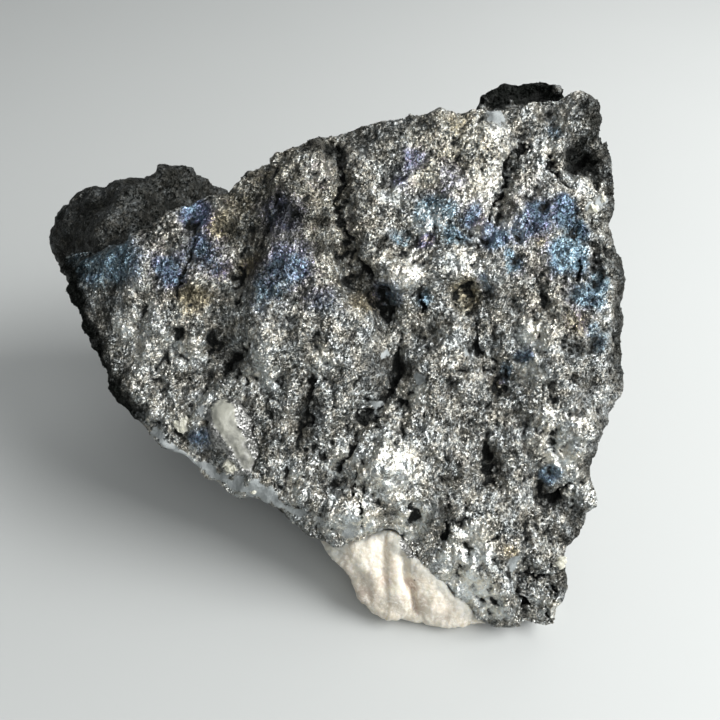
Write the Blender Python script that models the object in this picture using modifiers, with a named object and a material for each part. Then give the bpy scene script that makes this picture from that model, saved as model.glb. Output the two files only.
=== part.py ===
"""Skutterudite specimen: a broken block of granular steel-grey ore with calcite under its
lower front edge and a milky quartz bleb in its lower-left front.

Sizes are in millimetres until MM turns them into metres. The broad broken face has a frame of
its own: u to the right, v up the face and w out of it. LEAN tips that frame back from the
horizontal, so that the face looks forward and up while the specimen stands on its flat spot.
"""

import math

import bmesh
import bpy
import numpy as np
from mathutils import Matrix, Vector, noise

MM = 0.001

# Stance
LEAN = 47.0  # degrees between the broad face and the ground
FACE_HEIGHT = 28.5  # height of the face frame's origin above the ground
SEAM = 0.3  # gap left between grown-together minerals
ORE_CLEARANCE = 0.4  # how far the calcite is first cut back from the ore
CALCITE_CLEARANCE = 0.5  # height of the calcite's underside above the ground

GROUND = 90.0  # half width and depth of the ground that cuts the underside flat

# Thickness of the slabs behind the face
FRONT_SLAB = (-15.0, 0.0)
REAR_SLAB = (-35.0, -11.0)
CALCITE_SLAB = (-11.5, -1.0)
FRONT_TAPER = 0.90  # size of the front slab's far side against its near side
REAR_TAPER = 0.84
KNOB_TAPER = 0.95

# Mesh fineness: sizes of the remeshed squares, shares of the triangles kept by the
# decimation, and how much the front of a piece is spared by it, from 0 to 1
ORE_VOXEL = 0.9
CALCITE_VOXEL = 0.6
QUARTZ_VOXEL = 0.5
ORE_SHARE = 0.105
CALCITE_SHARE = 0.2
QUARTZ_SHARE = 0.22
CUTTER_SHARE = 0.3
ORE_SPARED = 0.45
CALCITE_SPARED = 0.4

# Outline of the broad face, clockwise seen from the front, from the left end
FACE_OUTLINE = [
    (-40.4, 12.3), (-38.1, 14.4), (-34.1, 15.7), (-29.1, 17.4), (-25.3, 18.8), (-22.3, 21.7),
    (-18.5, 22.3), (-17.0, 23.1), (-12.8, 25.8), (-8.7, 28.0), (-6.7, 28.4), (1.3, 30.4),
    (9.4, 32.2), (12.7, 31.8), (14.4, 32.7), (19.0, 32.8), (22.2, 34.1), (28.2, 34.3),
    (30.0, 33.7), (31.1, 31.9), (31.2, 29.5), (32.9, 25.6), (33.3, 22.2), (32.5, 16.8),
    (33.7, 11.1), (34.2, 9.1), (33.3, 3.9), (33.9, -2.4), (33.4, -4.8), (31.9, -6.8),
    (30.5, -13.0), (30.4, -16.7), (28.7, -22.4), (27.5, -23.7), (27.1, -26.2), (27.4, -29.5),
    (27.0, -32.2), (25.5, -35.1), (23.5, -35.2), (22.2, -34.6), (18.0, -35.8), (15.3, -33.7),
    (11.8, -30.3), (10.9, -28.2), (8.0, -26.5), (6.8, -26.5), (5.6, -23.2), (4.8, -22.2),
    (3.0, -22.2), (1.3, -23.1), (-2.0, -23.7), (-4.7, -23.8), (-7.6, -21.8), (-11.5, -18.9),
    (-16.1, -18.4), (-17.4, -17.5), (-21.0, -13.8), (-23.9, -12.2), (-28.0, -9.9), (-31.8, -6.2),
    (-33.3, -4.1), (-34.8, 0.1), (-37.2, 6.1), (-39.5, 10.3),
]

# Outline of the rear of the block
REAR_OUTLINE = [
    (-39.0, 14.0), (-34.0, 19.0), (-22.0, 20.0), (-12.0, 21.0), (0.0, 24.5), (12.0, 27.0),
    (24.0, 29.5), (30.0, 27.0), (32.0, 14.0), (32.0, 0.0), (30.0, -12.0), (27.5, -24.0),
    (22.0, -32.0), (13.0, -33.0), (3.0, -29.0), (-6.0, -24.5), (-15.0, -18.5), (-25.0, -12.5),
    (-32.0, -6.0), (-36.5, 4.0),
]

# Crest of the rear ridge, as (u, v, w), rising to the right as it runs back
RIDGE_CREST = [
    (-37.9, 15.6, -9.2), (-38.2, 18.4, -9.2), (-38.0, 21.4, -11.2), (-36.8, 24.2, -13.2),
    (-34.8, 25.4, -15.6), (-33.6, 26.2, -16.6), (-30.8, 27.4, -19.0), (-29.0, 29.2, -21.0),
    (-26.7, 28.4, -22.0), (-23.9, 27.8, -24.0), (-21.0, 24.6, -26.0),
]
RIDGE_FOOT = 8.0  # height on the face where the ridge joins the block
RIDGE_SPAN = (-13.0, 4.5)  # how far the ridge reaches behind its crest and before it

# Knob behind the upper right corner
KNOB_OUTLINE = [
    (16.2, 31.0), (17.2, 34.4), (19.8, 37.0), (22.2, 38.2), (24.0, 38.8), (25.6, 38.4),
    (27.2, 36.8), (28.6, 33.0), (27.0, 27.0), (18.0, 27.0),
]
KNOB_SLAB = (-13.0, -4.5)

# Outline of the calcite, its upper part hidden inside the ore
CALCITE_OUTLINE = [
    (-5.4, -22.7), (-3.3, -26.0), (-0.9, -28.3), (-0.3, -30.7), (2.0, -33.2), (4.4, -34.3),
    (5.8, -33.4), (8.5, -34.5), (11.8, -35.0), (15.2, -34.3), (18.1, -35.4), (19.1, -34.0),
    (13.9, -29.4), (11.3, -25.2), (6.7, -21.1), (-1.0, -21.1),
]

# Quartz bleb: centre and half sizes on the face, and its lower tail
QUARTZ_LUMPS = [
    ((-16.8, -8.6), (2.6, 3.7, 2.2), 20.0),
    ((-14.9, -12.2), (1.6, 2.8, 1.9), 10.0),
]
QUARTZ_DEPTH = -1.2  # where the lumps' centres lie out of the face

# Fracture planes round the back and sides: a point on each, in the ground frame with z from
# the ground up, and the direction it faces
FRACTURES = [
    ((0.0, 37.0, 20.0), (0.10, 0.99, 0.0)),
    ((29.0, 36.0, 22.0), (0.62, 0.78, 0.06)),
    ((-26.0, 33.0, 14.0), (-0.35, 0.88, -0.32)),
    ((-24.0, 10.0, 6.0), (-0.72, -0.10, -0.69)),
    ((-6.0, 24.0, 3.0), (-0.30, 0.55, -0.78)),
]

# Relief of the broad face. Grooves: path on the face, half width, depth.
GROOVES = [
    ([(-2.7, 28.5), (-2.4, 20.0), (-2.6, 18.0), (-1.9, 14.5)], 1.1, 1.7),
    ([(-2.0, 13.5), (-1.0, 11.0), (0.6, 8.6), (2.6, 7.2), (4.0, 5.6)], 1.7, 2.9),
    ([(6.8, 2.6), (5.4, 1.2), (4.6, -2.0), (4.2, -5.2), (1.0, -7.2)], 1.9, 2.6),
    ([(21.4, 29.0), (20.4, 25.6), (18.4, 22.2), (17.4, 18.4)], 1.0, 2.0),
    ([(24.6, 33.0), (24.6, 27.0), (25.6, 24.4), (29.0, 22.4), (32.0, 21.0)], 1.1, 1.4),
    ([(1.6, 14.2), (4.0, 13.6), (6.6, 13.4)], 0.7, 0.9),
    ([(10.0, 15.6), (13.4, 15.2)], 0.7, 0.9),
    ([(7.8, 8.2), (8.4, 6.6)], 0.8, 1.3),
    ([(14.6, 5.4), (14.8, 3.0), (15.6, 0.6)], 1.0, 1.9),
    ([(27.6, 13.2), (27.8, 9.8)], 0.8, 1.2),
    ([(29.8, 15.4), (30.4, 12.4), (30.2, 9.2)], 1.0, 1.6),
    ([(-18.8, 1.4), (-14.6, -2.2)], 1.7, 2.6),
    ([(-5.4, -1.8), (-6.2, -5.2), (-7.0, -8.8), (-5.2, -11.4)], 1.5, 2.0),
    ([(11.4, -17.8), (10.8, -22.6)], 0.9, 1.6),
    ([(21.2, -26.4), (21.6, -31.4)], 1.1, 2.6),
    ([(21.4, -27.4), (24.4, -27.6)], 0.7, 1.8),
    ([(24.8, -29.0), (24.0, -33.4)], 0.7, 1.0),
    ([(17.0, -9.0), (16.4, -13.0), (17.6, -17.0)], 1.2, 1.2),
    ([(22.6, -17.6), (26.0, -18.6), (28.2, -20.6)], 1.5, 1.8),
]

# Hollows and lumps: centre on the face, half width across and up it, height (minus is a hollow)
SWELLS = [
    ((-4.0, 8.6), (5.0, 8.0), 1.9),
    ((5.4, 11.0), (3.6, 2.2), 1.2),
    ((3.8, -14.0), (5.6, 5.6), 1.8),
    ((15.6, 21.8), (5.6, 4.6), 1.3),
    ((25.0, -7.6), (5.2, 6.4), 1.3),
    ((23.0, 3.8), (4.0, 4.0), 1.1),
    ((28.2, 22.4), (2.0, 2.0), 1.2),
    ((-0.6, -19.8), (3.6, 2.8), 1.2),
    ((15.4, -26.8), (5.0, 5.2), 1.4),
    ((24.0, -32.0), (1.4, 2.4), 0.9),
    ((-26.8, 2.6), (6.0, 6.0), 1.2),
    ((-20.0, 14.0), (4.0, 4.0), 0.9),
    ((-11.6, 2.6), (3.6, 4.4), 1.0),
    ((28.8, 25.6), (2.2, 2.7), -3.6),
    ((13.4, 8.0), (2.4, 2.2), -1.9),
    ((-31.6, 6.6), (3.2, 5.0), -1.6),
    ((26.0, -17.0), (3.4, 3.0), -1.4),
    ((18.6, -2.4), (2.2, 3.0), -1.3),
    ((6.6, -8.6), (3.4, 3.0), -0.9),
]

# Steps: path on the face, how far the ground on the right of someone walking it drops, the
# width of the slope, and how far out the drop reaches
STEPS = [
    ([(-10.0, 24.0), (-12.8, 16.0), (-13.8, 9.4), (-17.4, 1.6)], 2.2, 2.2, 13.0),
    ([(-30.4, 15.6), (-31.6, 9.0), (-32.0, 2.0)], 2.2, 1.6, 9.0),
    ([(-0.5, 14.2), (2.4, 11.7), (4.3, 8.7), (4.7, 6.6)], 1.8, 0.5, 3.4),
    ([(14.0, 25.6), (15.4, 20.4), (14.4, 16.0), (9.0, 15.0)], 1.0, 0.7, 4.0),
    ([(9.6, 3.2), (8.2, -2.0), (6.8, -7.0), (2.8, -9.6)], 1.6, 1.0, 4.6),
    ([(22.6, 8.4), (17.6, 3.6), (18.0, -4.6), (16.6, -13.4)], 1.2, 0.9, 4.0),
    ([(-20.0, -1.6), (-12.0, -4.0), (-6.4, -11.6), (-3.0, -13.6)], 1.2, 0.8, 4.0),
    ([(29.6, 14.0), (22.0, 18.6), (16.4, 15.4)], 0.9, 0.6, 3.2),
]

# The broad face's edge is rounded down, and its left end falls away
RIM_DROP = 1.8
RIM_WIDTH = 2.0
LEFT_DROP = 4.0
LEFT_FALL = (24.0, 38.0)  # where the fall starts and ends, to the left of the middle

# Grain of the broad face: chips drawn out along the streaks, as size and height, and a swell
STREAK_DIRECTION = (0.35, 0.94)
STREAK_STRETCH = 2.5
FACE_CHIPS = [(4.4, 1.1), (2.0, 0.8)]
FACE_SWELL = (9.0, 0.8)

# Roughness of the broken sides and back, as size and height; the left end is calmer
SIDE_CHIPS = [(12.0, 2.4), (5.5, 1.3), (2.8, 0.7)]
SIDE_SWELL = (11.0, 1.2)
SIDE_START = (2.0, 9.0)  # how far behind the face the full roughness begins
RIM_ROUGHNESS = 0.3
CALM_LEFT = (24.0, 34.0)
CALM_SHARE = 0.75

# Ribs of the calcite: paths of its furrows, half width, depth
CALCITE_FURROWS = [
    ([(2.9, -24.2), (3.1, -28.0), (3.8, -31.6)], 0.8, 1.0),
    ([(6.0, -25.4), (6.6, -28.6), (7.4, -31.8)], 0.9, 1.2),
    ([(0.4, -28.4), (2.6, -31.8)], 0.7, 0.5),
    ([(9.0, -29.0), (11.4, -32.4)], 0.8, 0.5),
]

CALCITE_RIM_DROP = 2.2
CALCITE_RIM_WIDTH = 1.6
CALCITE_SWELL = (3.5, 0.35)
QUARTZ_SWELL = (1.8, 0.25)

TO_WORLD = Matrix.Translation((0.0, 0.0, FACE_HEIGHT * MM)) @ Matrix.Rotation(
    math.radians(LEAN), 4, "X"
)


def clear_scene():
    for obj in list(bpy.data.objects):
        bpy.data.objects.remove(obj, do_unlink=True)


def finish(obj, name, colour, metallic, roughness):
    """Gives the object its own material and flat facets."""
    material = bpy.data.materials.new(name)
    material.use_nodes = True
    shader = material.node_tree.nodes["Principled BSDF"]
    shader.inputs["Base Color"].default_value = (*colour, 1.0)
    shader.inputs["Metallic"].default_value = metallic
    shader.inputs["Roughness"].default_value = roughness
    obj.data.materials.clear()
    obj.data.materials.append(material)
    for face in obj.data.polygons:
        face.use_smooth = False


def add_object(name, mesh):
    obj = bpy.data.objects.new(name, mesh)
    bpy.context.scene.collection.objects.link(obj)
    return obj


def hide_helper(obj):
    obj.hide_render = True
    obj.display_type = "WIRE"


def bake(obj):
    """Works the object's modifiers into its mesh."""
    graph = bpy.context.evaluated_depsgraph_get()
    graph.update()
    mesh = bpy.data.meshes.new_from_object(obj.evaluated_get(graph))
    obj.modifiers.clear()
    obj.data = mesh


def slab(name, outline, span, taper=1.0):
    """A slab with the given outline, from span[0] to span[1] out of the face, smaller at span[0]."""
    curve = bpy.data.curves.new(name, "CURVE")
    curve.dimensions = "2D"
    curve.fill_mode = "BOTH"
    curve.extrude = (span[1] - span[0]) / 2 * MM
    spline = curve.splines.new("POLY")
    spline.points.add(len(outline) - 1)
    for point, (u, v) in zip(spline.points, outline):
        point.co = (u * MM, v * MM, 0.0, 1.0)
    spline.use_cyclic_u = True
    drawn = add_object(name + "_curve", curve)
    graph = bpy.context.evaluated_depsgraph_get()
    mesh = bpy.data.meshes.new_from_object(drawn.evaluated_get(graph))
    bpy.data.objects.remove(drawn, do_unlink=True)
    mesh.transform(Matrix.Translation((0.0, 0.0, (span[0] + span[1]) / 2 * MM)))
    shape = bmesh.new()
    shape.from_mesh(mesh)
    bmesh.ops.remove_doubles(shape, verts=shape.verts, dist=1e-7)
    bmesh.ops.recalc_face_normals(shape, faces=shape.faces)
    for vertex in shape.verts:
        if vertex.co.z < (span[0] + span[1]) / 2 * MM:
            vertex.co.xy = vertex.co.xy * taper
    shape.to_mesh(mesh)
    shape.free()
    return add_object(name, mesh)


def ridge_wall():
    """The rear ridge: a wall under a crest that runs back and up to the right."""
    first, last = Vector(RIDGE_CREST[0]), Vector(RIDGE_CREST[-1])
    run = Vector((last.x - first.x, 0.0, last.z - first.z)).normalized()
    across = run.cross(Vector((0.0, 1.0, 0.0)))
    outline = [((Vector(point) - first).dot(run), point[1]) for point in RIDGE_CREST]
    outline += [(outline[-1][0] + 1.0, RIDGE_FOOT), (2.0, RIDGE_FOOT)]
    wall = slab("ridge", outline, RIDGE_SPAN)
    turn = Matrix((run, Vector((0.0, 1.0, 0.0)), across)).transposed().to_4x4()
    wall.data.transform(turn)
    wall.data.transform(Matrix.Translation(Vector((first.x, 0.0, first.z)) * MM))
    return wall


def unite(target, others):
    for other in others:
        hide_helper(other)
        modifier = target.modifiers.new("join_" + other.name, "BOOLEAN")
        modifier.operation = "UNION"
        modifier.solver = "EXACT"
        modifier.object = other
    bake(target)
    for other in others:
        bpy.data.objects.remove(other, do_unlink=True)


def subtract(target, cutter):
    modifier = target.modifiers.new("cut_" + cutter.name, "BOOLEAN")
    modifier.operation = "DIFFERENCE"
    modifier.solver = "EXACT"
    modifier.object = cutter
    bake(target)


def break_off(obj, planes):
    """Cuts the shape by each fracture plane and closes it."""
    shape = bmesh.new()
    shape.from_mesh(obj.data)
    for point, facing in planes:
        everything = shape.verts[:] + shape.edges[:] + shape.faces[:]
        cut = bmesh.ops.bisect_plane(
            shape,
            geom=everything,
            plane_co=Vector(point) * MM,
            plane_no=Vector(facing),
            clear_outer=True,
        )
        rim = [item for item in cut["geom_cut"] if isinstance(item, bmesh.types.BMEdge)]
        bmesh.ops.contextual_create(shape, geom=rim)
    bmesh.ops.recalc_face_normals(shape, faces=shape.faces)
    shape.to_mesh(obj.data)
    shape.free()


def remesh(obj, voxel):
    modifier = obj.modifiers.new("remesh", "REMESH")
    modifier.mode = "VOXEL"
    modifier.voxel_size = voxel * MM
    modifier.adaptivity = 0.0
    bake(obj)


def soften(obj):
    """Takes the stair steps off a remeshed surface."""
    modifier = obj.modifiers.new("soften", "SMOOTH")
    modifier.factor = 0.5
    modifier.iterations = 2
    bake(obj)


def face_frame(obj):
    """Vertex positions and normals in the face frame, positions in millimetres."""
    count = len(obj.data.vertices)
    points = np.empty(count * 3)
    normals = np.empty(count * 3)
    obj.data.vertices.foreach_get("co", points)
    obj.data.vertices.foreach_get("normal", normals)
    turn = np.array(TO_WORLD.to_3x3())
    origin = np.array(TO_WORLD.translation)
    points = (points.reshape(-1, 3) - origin) @ turn / MM
    return points, normals.reshape(-1, 3) @ turn


def set_face_frame(obj, points):
    turn = np.array(TO_WORLD.to_3x3())
    origin = np.array(TO_WORLD.translation)
    placed = points * MM @ turn.T + origin
    obj.data.vertices.foreach_set("co", placed.ravel())
    obj.data.update()


def smooth(values, low, high):
    share = np.clip((values - low) / (high - low), 0.0, 1.0)
    return share * share * (3.0 - 2.0 * share)


def path_distance(spots, path, closed=False):
    """Distance from each spot to the path, and the side of it: plus is its left side."""
    ends = list(zip(path, path[1:] + path[:1])) if closed else list(zip(path, path[1:]))
    best = np.full(len(spots), np.inf)
    side = np.ones(len(spots))
    for start, end in ends:
        start, end = np.array(start), np.array(end)
        along = end - start
        offset = spots - start
        share = np.clip(offset @ along / (along @ along), 0.0, 1.0)
        gap = np.linalg.norm(offset - share[:, None] * along, axis=1)
        nearer = gap < best
        best = np.where(nearer, gap, best)
        turn = along[0] * offset[:, 1] - along[1] * offset[:, 0]
        side = np.where(nearer, np.sign(turn), side)
    return best, side


def grain(points, scale, seed):
    """Smooth noise from -1 to 1 at each point, with lumps of about the given size."""
    shift = Vector((seed * 17.3, seed * 5.1, seed * 9.7))
    return np.array([noise.noise(Vector(p) / scale + shift) for p in points])


def chips(points, scale, seed):
    """Flat chips of about the given size: each nearest-seed cell is a plane with its own tilt."""
    shift = Vector((seed * 11.9, seed * 3.3, seed * 7.7))
    heights = np.empty(len(points))
    for index, point in enumerate(points):
        spot = Vector(point) / scale + shift
        _, seeds = noise.voronoi(spot)
        nearest = Vector(seeds[0])
        tilt = noise.cell_vector(nearest * 3.7 + shift)
        heights[index] = (spot - nearest).dot(tilt * 2.0 - Vector((1.0, 1.0, 1.0)))
    return heights


def carve(spots, paths):
    """How far the named grooves go in at each spot on the face."""
    depth = np.zeros(len(spots))
    for path, half_width, deep in paths:
        gap, _ = path_distance(spots, path)
        depth = np.maximum(depth, deep * np.exp(-((gap / half_width) ** 2)))
    return depth


def swell(spots, lumps):
    height = np.zeros(len(spots))
    for centre, half, rise in lumps:
        reach = ((spots - np.array(centre)) / np.array(half)) ** 2
        height += rise * np.exp(-reach.sum(axis=1))
    return height


def step_down(spots, steps):
    drop = np.zeros(len(spots))
    for path, fall, width, reach in steps:
        gap, side = path_distance(spots, path)
        drop += fall * smooth(-side * gap, -width, width) * np.exp(-((gap / reach) ** 2))
    return drop


def layers(points, chip_layers, swell_layer, seed):
    """Chips of each given size and height, over one smooth swell."""
    size, height = swell_layer
    total = height * grain(points, size, seed)
    for step, (size, height) in enumerate(chip_layers, start=1):
        total += height * chips(points, size, seed + step)
    return total


def streaked(points):
    """The points with the streak direction pressed together, so that noise in them is drawn out."""
    along = points[:, :2] @ np.array(STREAK_DIRECTION) / STREAK_STRETCH
    across = points[:, :2] @ np.array((STREAK_DIRECTION[1], -STREAK_DIRECTION[0]))
    return np.column_stack((across, along, points[:, 2] / STREAK_STRETCH))


def shape_ore(obj):
    points, normals = face_frame(obj)
    spots = points[:, :2].copy()
    front = smooth(normals[:, 2], 0.25, 0.75) * smooth(points[:, 2], -7.0, -3.0)
    rim, _ = path_distance(spots, FACE_OUTLINE, closed=True)
    relief = swell(spots, SWELLS) - carve(spots, GROOVES) - step_down(spots, STEPS)
    relief -= RIM_DROP * np.exp(-((rim / RIM_WIDTH) ** 2))
    relief -= LEFT_DROP * smooth(-spots[:, 0], *LEFT_FALL)
    relief += layers(streaked(points), FACE_CHIPS, FACE_SWELL, 1)
    points[:, 2] += front * relief
    rough = layers(points, SIDE_CHIPS, SIDE_SWELL, 5)
    rough *= 1.0 - CALM_SHARE * smooth(-points[:, 0], *CALM_LEFT)
    rough *= RIM_ROUGHNESS + (1.0 - RIM_ROUGHNESS) * smooth(-points[:, 2], *SIDE_START)
    points += normals * (rough * (1.0 - front))[:, None]
    set_face_frame(obj, points)


def shape_calcite(obj):
    points, normals = face_frame(obj)
    spots = points[:, :2].copy()
    front = smooth(normals[:, 2], 0.1, 0.7)
    rim, _ = path_distance(spots, CALCITE_OUTLINE, closed=True)
    relief = -CALCITE_RIM_DROP * np.exp(-((rim / CALCITE_RIM_WIDTH) ** 2))
    relief -= carve(spots, CALCITE_FURROWS)
    points[:, 2] += front * relief
    points += normals * layers(points, [], CALCITE_SWELL, 11)[:, None]
    set_face_frame(obj, points)


def thin_out(obj, share, spared):
    """Fewer triangles, with more of them left on the front."""
    _, normals = face_frame(obj)
    group = obj.vertex_groups.new(name="thin")
    weights = 1.0 - spared * smooth(normals[:, 2], 0.2, 0.7)
    for index, weight in enumerate(weights):
        group.add([index], float(weight), "REPLACE")
    modifier = obj.modifiers.new("thin", "DECIMATE")
    modifier.ratio = share
    modifier.use_collapse_triangulate = True
    modifier.vertex_group = "thin"
    modifier.vertex_group_factor = 1.0
    bake(obj)
    obj.vertex_groups.clear()
    keep_largest(obj)


def keep_largest(obj):
    """Drops the crumbs that thinning can leave beside the main body."""
    shape = bmesh.new()
    shape.from_mesh(obj.data)
    left = set(shape.verts)
    bodies = []
    while left:
        body = {left.pop()}
        edge = list(body)
        while edge:
            vertex = edge.pop()
            for link in vertex.link_edges:
                other = link.other_vert(vertex)
                if other in left:
                    left.discard(other)
                    body.add(other)
                    edge.append(other)
        bodies.append(body)
    largest = max(bodies, key=len)
    crumbs = [vertex for body in bodies if body is not largest for vertex in body]
    bmesh.ops.delete(shape, geom=crumbs, context="VERTS")
    shape.to_mesh(obj.data)
    shape.free()


def swollen_copy(obj, name, amount, voxel):
    """A cutter that is the given amount larger than the object all round."""
    copy = add_object(name, obj.data.copy())
    remesh(copy, voxel)
    points, normals = face_frame(copy)
    set_face_frame(copy, points + normals * amount)
    remesh(copy, voxel)
    modifier = copy.modifiers.new("thin", "DECIMATE")
    modifier.ratio = CUTTER_SHARE
    bake(copy)
    hide_helper(copy)
    return copy


def cut_socket(target, obj, voxel):
    """Cuts room in the target for the object and a seam all round it."""
    cutter = swollen_copy(obj, obj.name + "_and_seam", SEAM, voxel)
    subtract(target, cutter)
    bpy.data.objects.remove(cutter, do_unlink=True)
    keep_largest(target)


def cut_at(obj, height):
    """Cuts the object off flat at the given height above the ground."""
    square = [(-GROUND, -GROUND), (GROUND, -GROUND), (GROUND, GROUND), (-GROUND, GROUND)]
    below = slab("below", square, (-GROUND, height))
    hide_helper(below)
    subtract(obj, below)
    bpy.data.objects.remove(below, do_unlink=True)


def make_ore():
    front = slab("skutterudite", FACE_OUTLINE, FRONT_SLAB, FRONT_TAPER)
    rear = slab("rear", REAR_OUTLINE, REAR_SLAB, REAR_TAPER)
    knob = slab("knob", KNOB_OUTLINE, KNOB_SLAB, KNOB_TAPER)
    wall = ridge_wall()
    unite(front, [rear, knob, wall])
    front.data.transform(TO_WORLD)
    break_off(front, FRACTURES)
    remesh(front, ORE_VOXEL)
    shape_ore(front)
    remesh(front, ORE_VOXEL)
    soften(front)
    thin_out(front, ORE_SHARE, ORE_SPARED)
    cut_at(front, 0.0)
    return front


def make_calcite(ore):
    """The calcite fills the notch under the face, clear of the ore."""
    mass = slab("calcite", CALCITE_OUTLINE, CALCITE_SLAB)
    mass.data.transform(TO_WORLD)
    remesh(mass, CALCITE_VOXEL)
    shape_calcite(mass)
    remesh(mass, CALCITE_VOXEL)
    soften(mass)
    cutter = swollen_copy(ore, "ore_and_seam", ORE_CLEARANCE, ORE_VOXEL)
    subtract(mass, cutter)
    bpy.data.objects.remove(cutter, do_unlink=True)
    cut_at(mass, CALCITE_CLEARANCE)
    remesh(mass, CALCITE_VOXEL)
    thin_out(mass, CALCITE_SHARE, CALCITE_SPARED)
    return mass


def quartz_lump(place, half, turn):
    mesh = bpy.data.meshes.new("quartz")
    ball = bmesh.new()
    bmesh.ops.create_icosphere(ball, subdivisions=3, radius=MM)
    ball.to_mesh(mesh)
    ball.free()
    mesh.transform(Matrix.Diagonal((*half, 1.0)))
    mesh.transform(Matrix.Rotation(math.radians(turn), 4, "Z"))
    mesh.transform(Matrix.Translation(Vector((*place, QUARTZ_DEPTH)) * MM))
    mesh.transform(TO_WORLD)
    return add_object("quartz", mesh)


def make_quartz():
    bleb, *others = [quartz_lump(*lump) for lump in QUARTZ_LUMPS]
    unite(bleb, others)
    remesh(bleb, QUARTZ_VOXEL)
    points, normals = face_frame(bleb)
    points += normals * layers(points, [], QUARTZ_SWELL, 21)[:, None]
    set_face_frame(bleb, points)
    thin_out(bleb, QUARTZ_SHARE, 0.0)
    return bleb


def stand_on_origin(objects):
    """Moves the pieces together, so that the middle of their footprint box is at the origin."""
    corners = np.array([vertex.co for obj in objects for vertex in obj.data.vertices])
    middle = (corners.max(axis=0) + corners.min(axis=0)) / 2
    for obj in objects:
        obj.data.transform(Matrix.Translation((-middle[0], -middle[1], 0.0)))


def main():
    clear_scene()
    ore = make_ore()
    quartz = make_quartz()
    cut_socket(ore, quartz, QUARTZ_VOXEL)
    calcite = make_calcite(ore)
    cut_socket(ore, calcite, CALCITE_VOXEL)
    stand_on_origin([ore, calcite, quartz])
    finish(ore, "ore", (0.20, 0.20, 0.21), 0.9, 0.4)
    finish(calcite, "calcite", (0.86, 0.80, 0.74), 0.0, 0.4)
    finish(quartz, "quartz", (0.72, 0.72, 0.69), 0.0, 0.3)


main()
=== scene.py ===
"""Looks of the skutterudite specimen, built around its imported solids.

Sizes in the lists below are in millimetres, in the frame of the broad broken face: u to the
right, v up the face and w out of it. MM turns millimetres into metres.
"""

import math

import bmesh
import bpy
import numpy as np
from bpy.props import FloatProperty, FloatVectorProperty, IntProperty, PointerProperty
from mathutils import Matrix, Vector


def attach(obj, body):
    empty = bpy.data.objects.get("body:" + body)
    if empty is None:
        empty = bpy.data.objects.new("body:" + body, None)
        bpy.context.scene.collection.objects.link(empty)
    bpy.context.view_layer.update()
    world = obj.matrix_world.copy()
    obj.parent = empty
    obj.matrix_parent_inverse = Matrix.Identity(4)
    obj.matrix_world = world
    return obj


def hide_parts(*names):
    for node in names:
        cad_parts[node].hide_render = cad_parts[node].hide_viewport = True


bl_info = {
    "name": "Skutterudite Specimen",
    "version": (1, 0, 0),
    "blender": (4, 5, 0),
    "location": "3D View > Sidebar > Specimen",
    "description": "Builds a broken block of skutterudite ore with calcite and quartz on it",
    "category": "Add Mesh",
}

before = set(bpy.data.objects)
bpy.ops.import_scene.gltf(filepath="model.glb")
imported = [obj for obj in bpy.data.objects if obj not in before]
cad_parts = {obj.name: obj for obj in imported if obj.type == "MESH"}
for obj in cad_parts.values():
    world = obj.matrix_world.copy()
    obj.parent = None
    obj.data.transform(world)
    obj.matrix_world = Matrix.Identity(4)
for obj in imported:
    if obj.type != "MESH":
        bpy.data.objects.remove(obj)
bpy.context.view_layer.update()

MM = 0.001

# Where the broad face's frame stands: its origin on the face, and how far it leans back
FACE_ORIGIN = (6.522, -7.756, 28.5)
LEAN = math.radians(47.0)
FACE_TO_WORLD = Matrix.Translation(Vector(FACE_ORIGIN) * MM) @ Matrix.Rotation(LEAN, 4, "X")

# The streaks of the broken grain run up the face and a little to the right
STREAK = (0.35, 0.94)

# Cracks of the broad face: path, half width, depth
CRACKS = [
    ([(-2.9, 27.5), (-2.5, 23.0), (-2.4, 20.0), (-2.8, 18.0), (-1.8, 15.2)], 0.35, 0.45),
    ([(21.0, 27.6), (20.3, 25.6), (19.3, 23.6)], 0.55, 0.45),
    ([(19.2, 23.2), (17.9, 20.8), (17.0, 19.0), (16.0, 17.6)], 0.3, 0.5),
    ([(24.4, 26.2), (25.4, 23.6), (27.4, 22.4)], 0.4, 0.7),
    ([(7.9, 8.2), (8.3, 6.8)], 0.4, 0.8),
    ([(27.7, 13.2), (27.8, 10.0)], 0.4, 0.7),
    ([(-0.4, -14.0), (-0.6, -17.0), (0.4, -20.0), (0.0, -21.4)], 0.3, 0.6),
    ([(11.5, -17.8), (10.9, -20.2), (10.8, -22.6)], 0.4, 0.6),
    ([(21.3, -26.4), (21.0, -29.0), (21.7, -31.4)], 0.45, 1.1),
    ([(21.4, -27.6), (24.4, -27.4)], 0.35, 0.8),
    ([(24.8, -29.0), (24.1, -33.2)], 0.35, 0.7),
    ([(-21.0, 16.6), (-23.0, 12.0), (-24.4, 6.0)], 0.35, 0.4),
]

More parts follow.
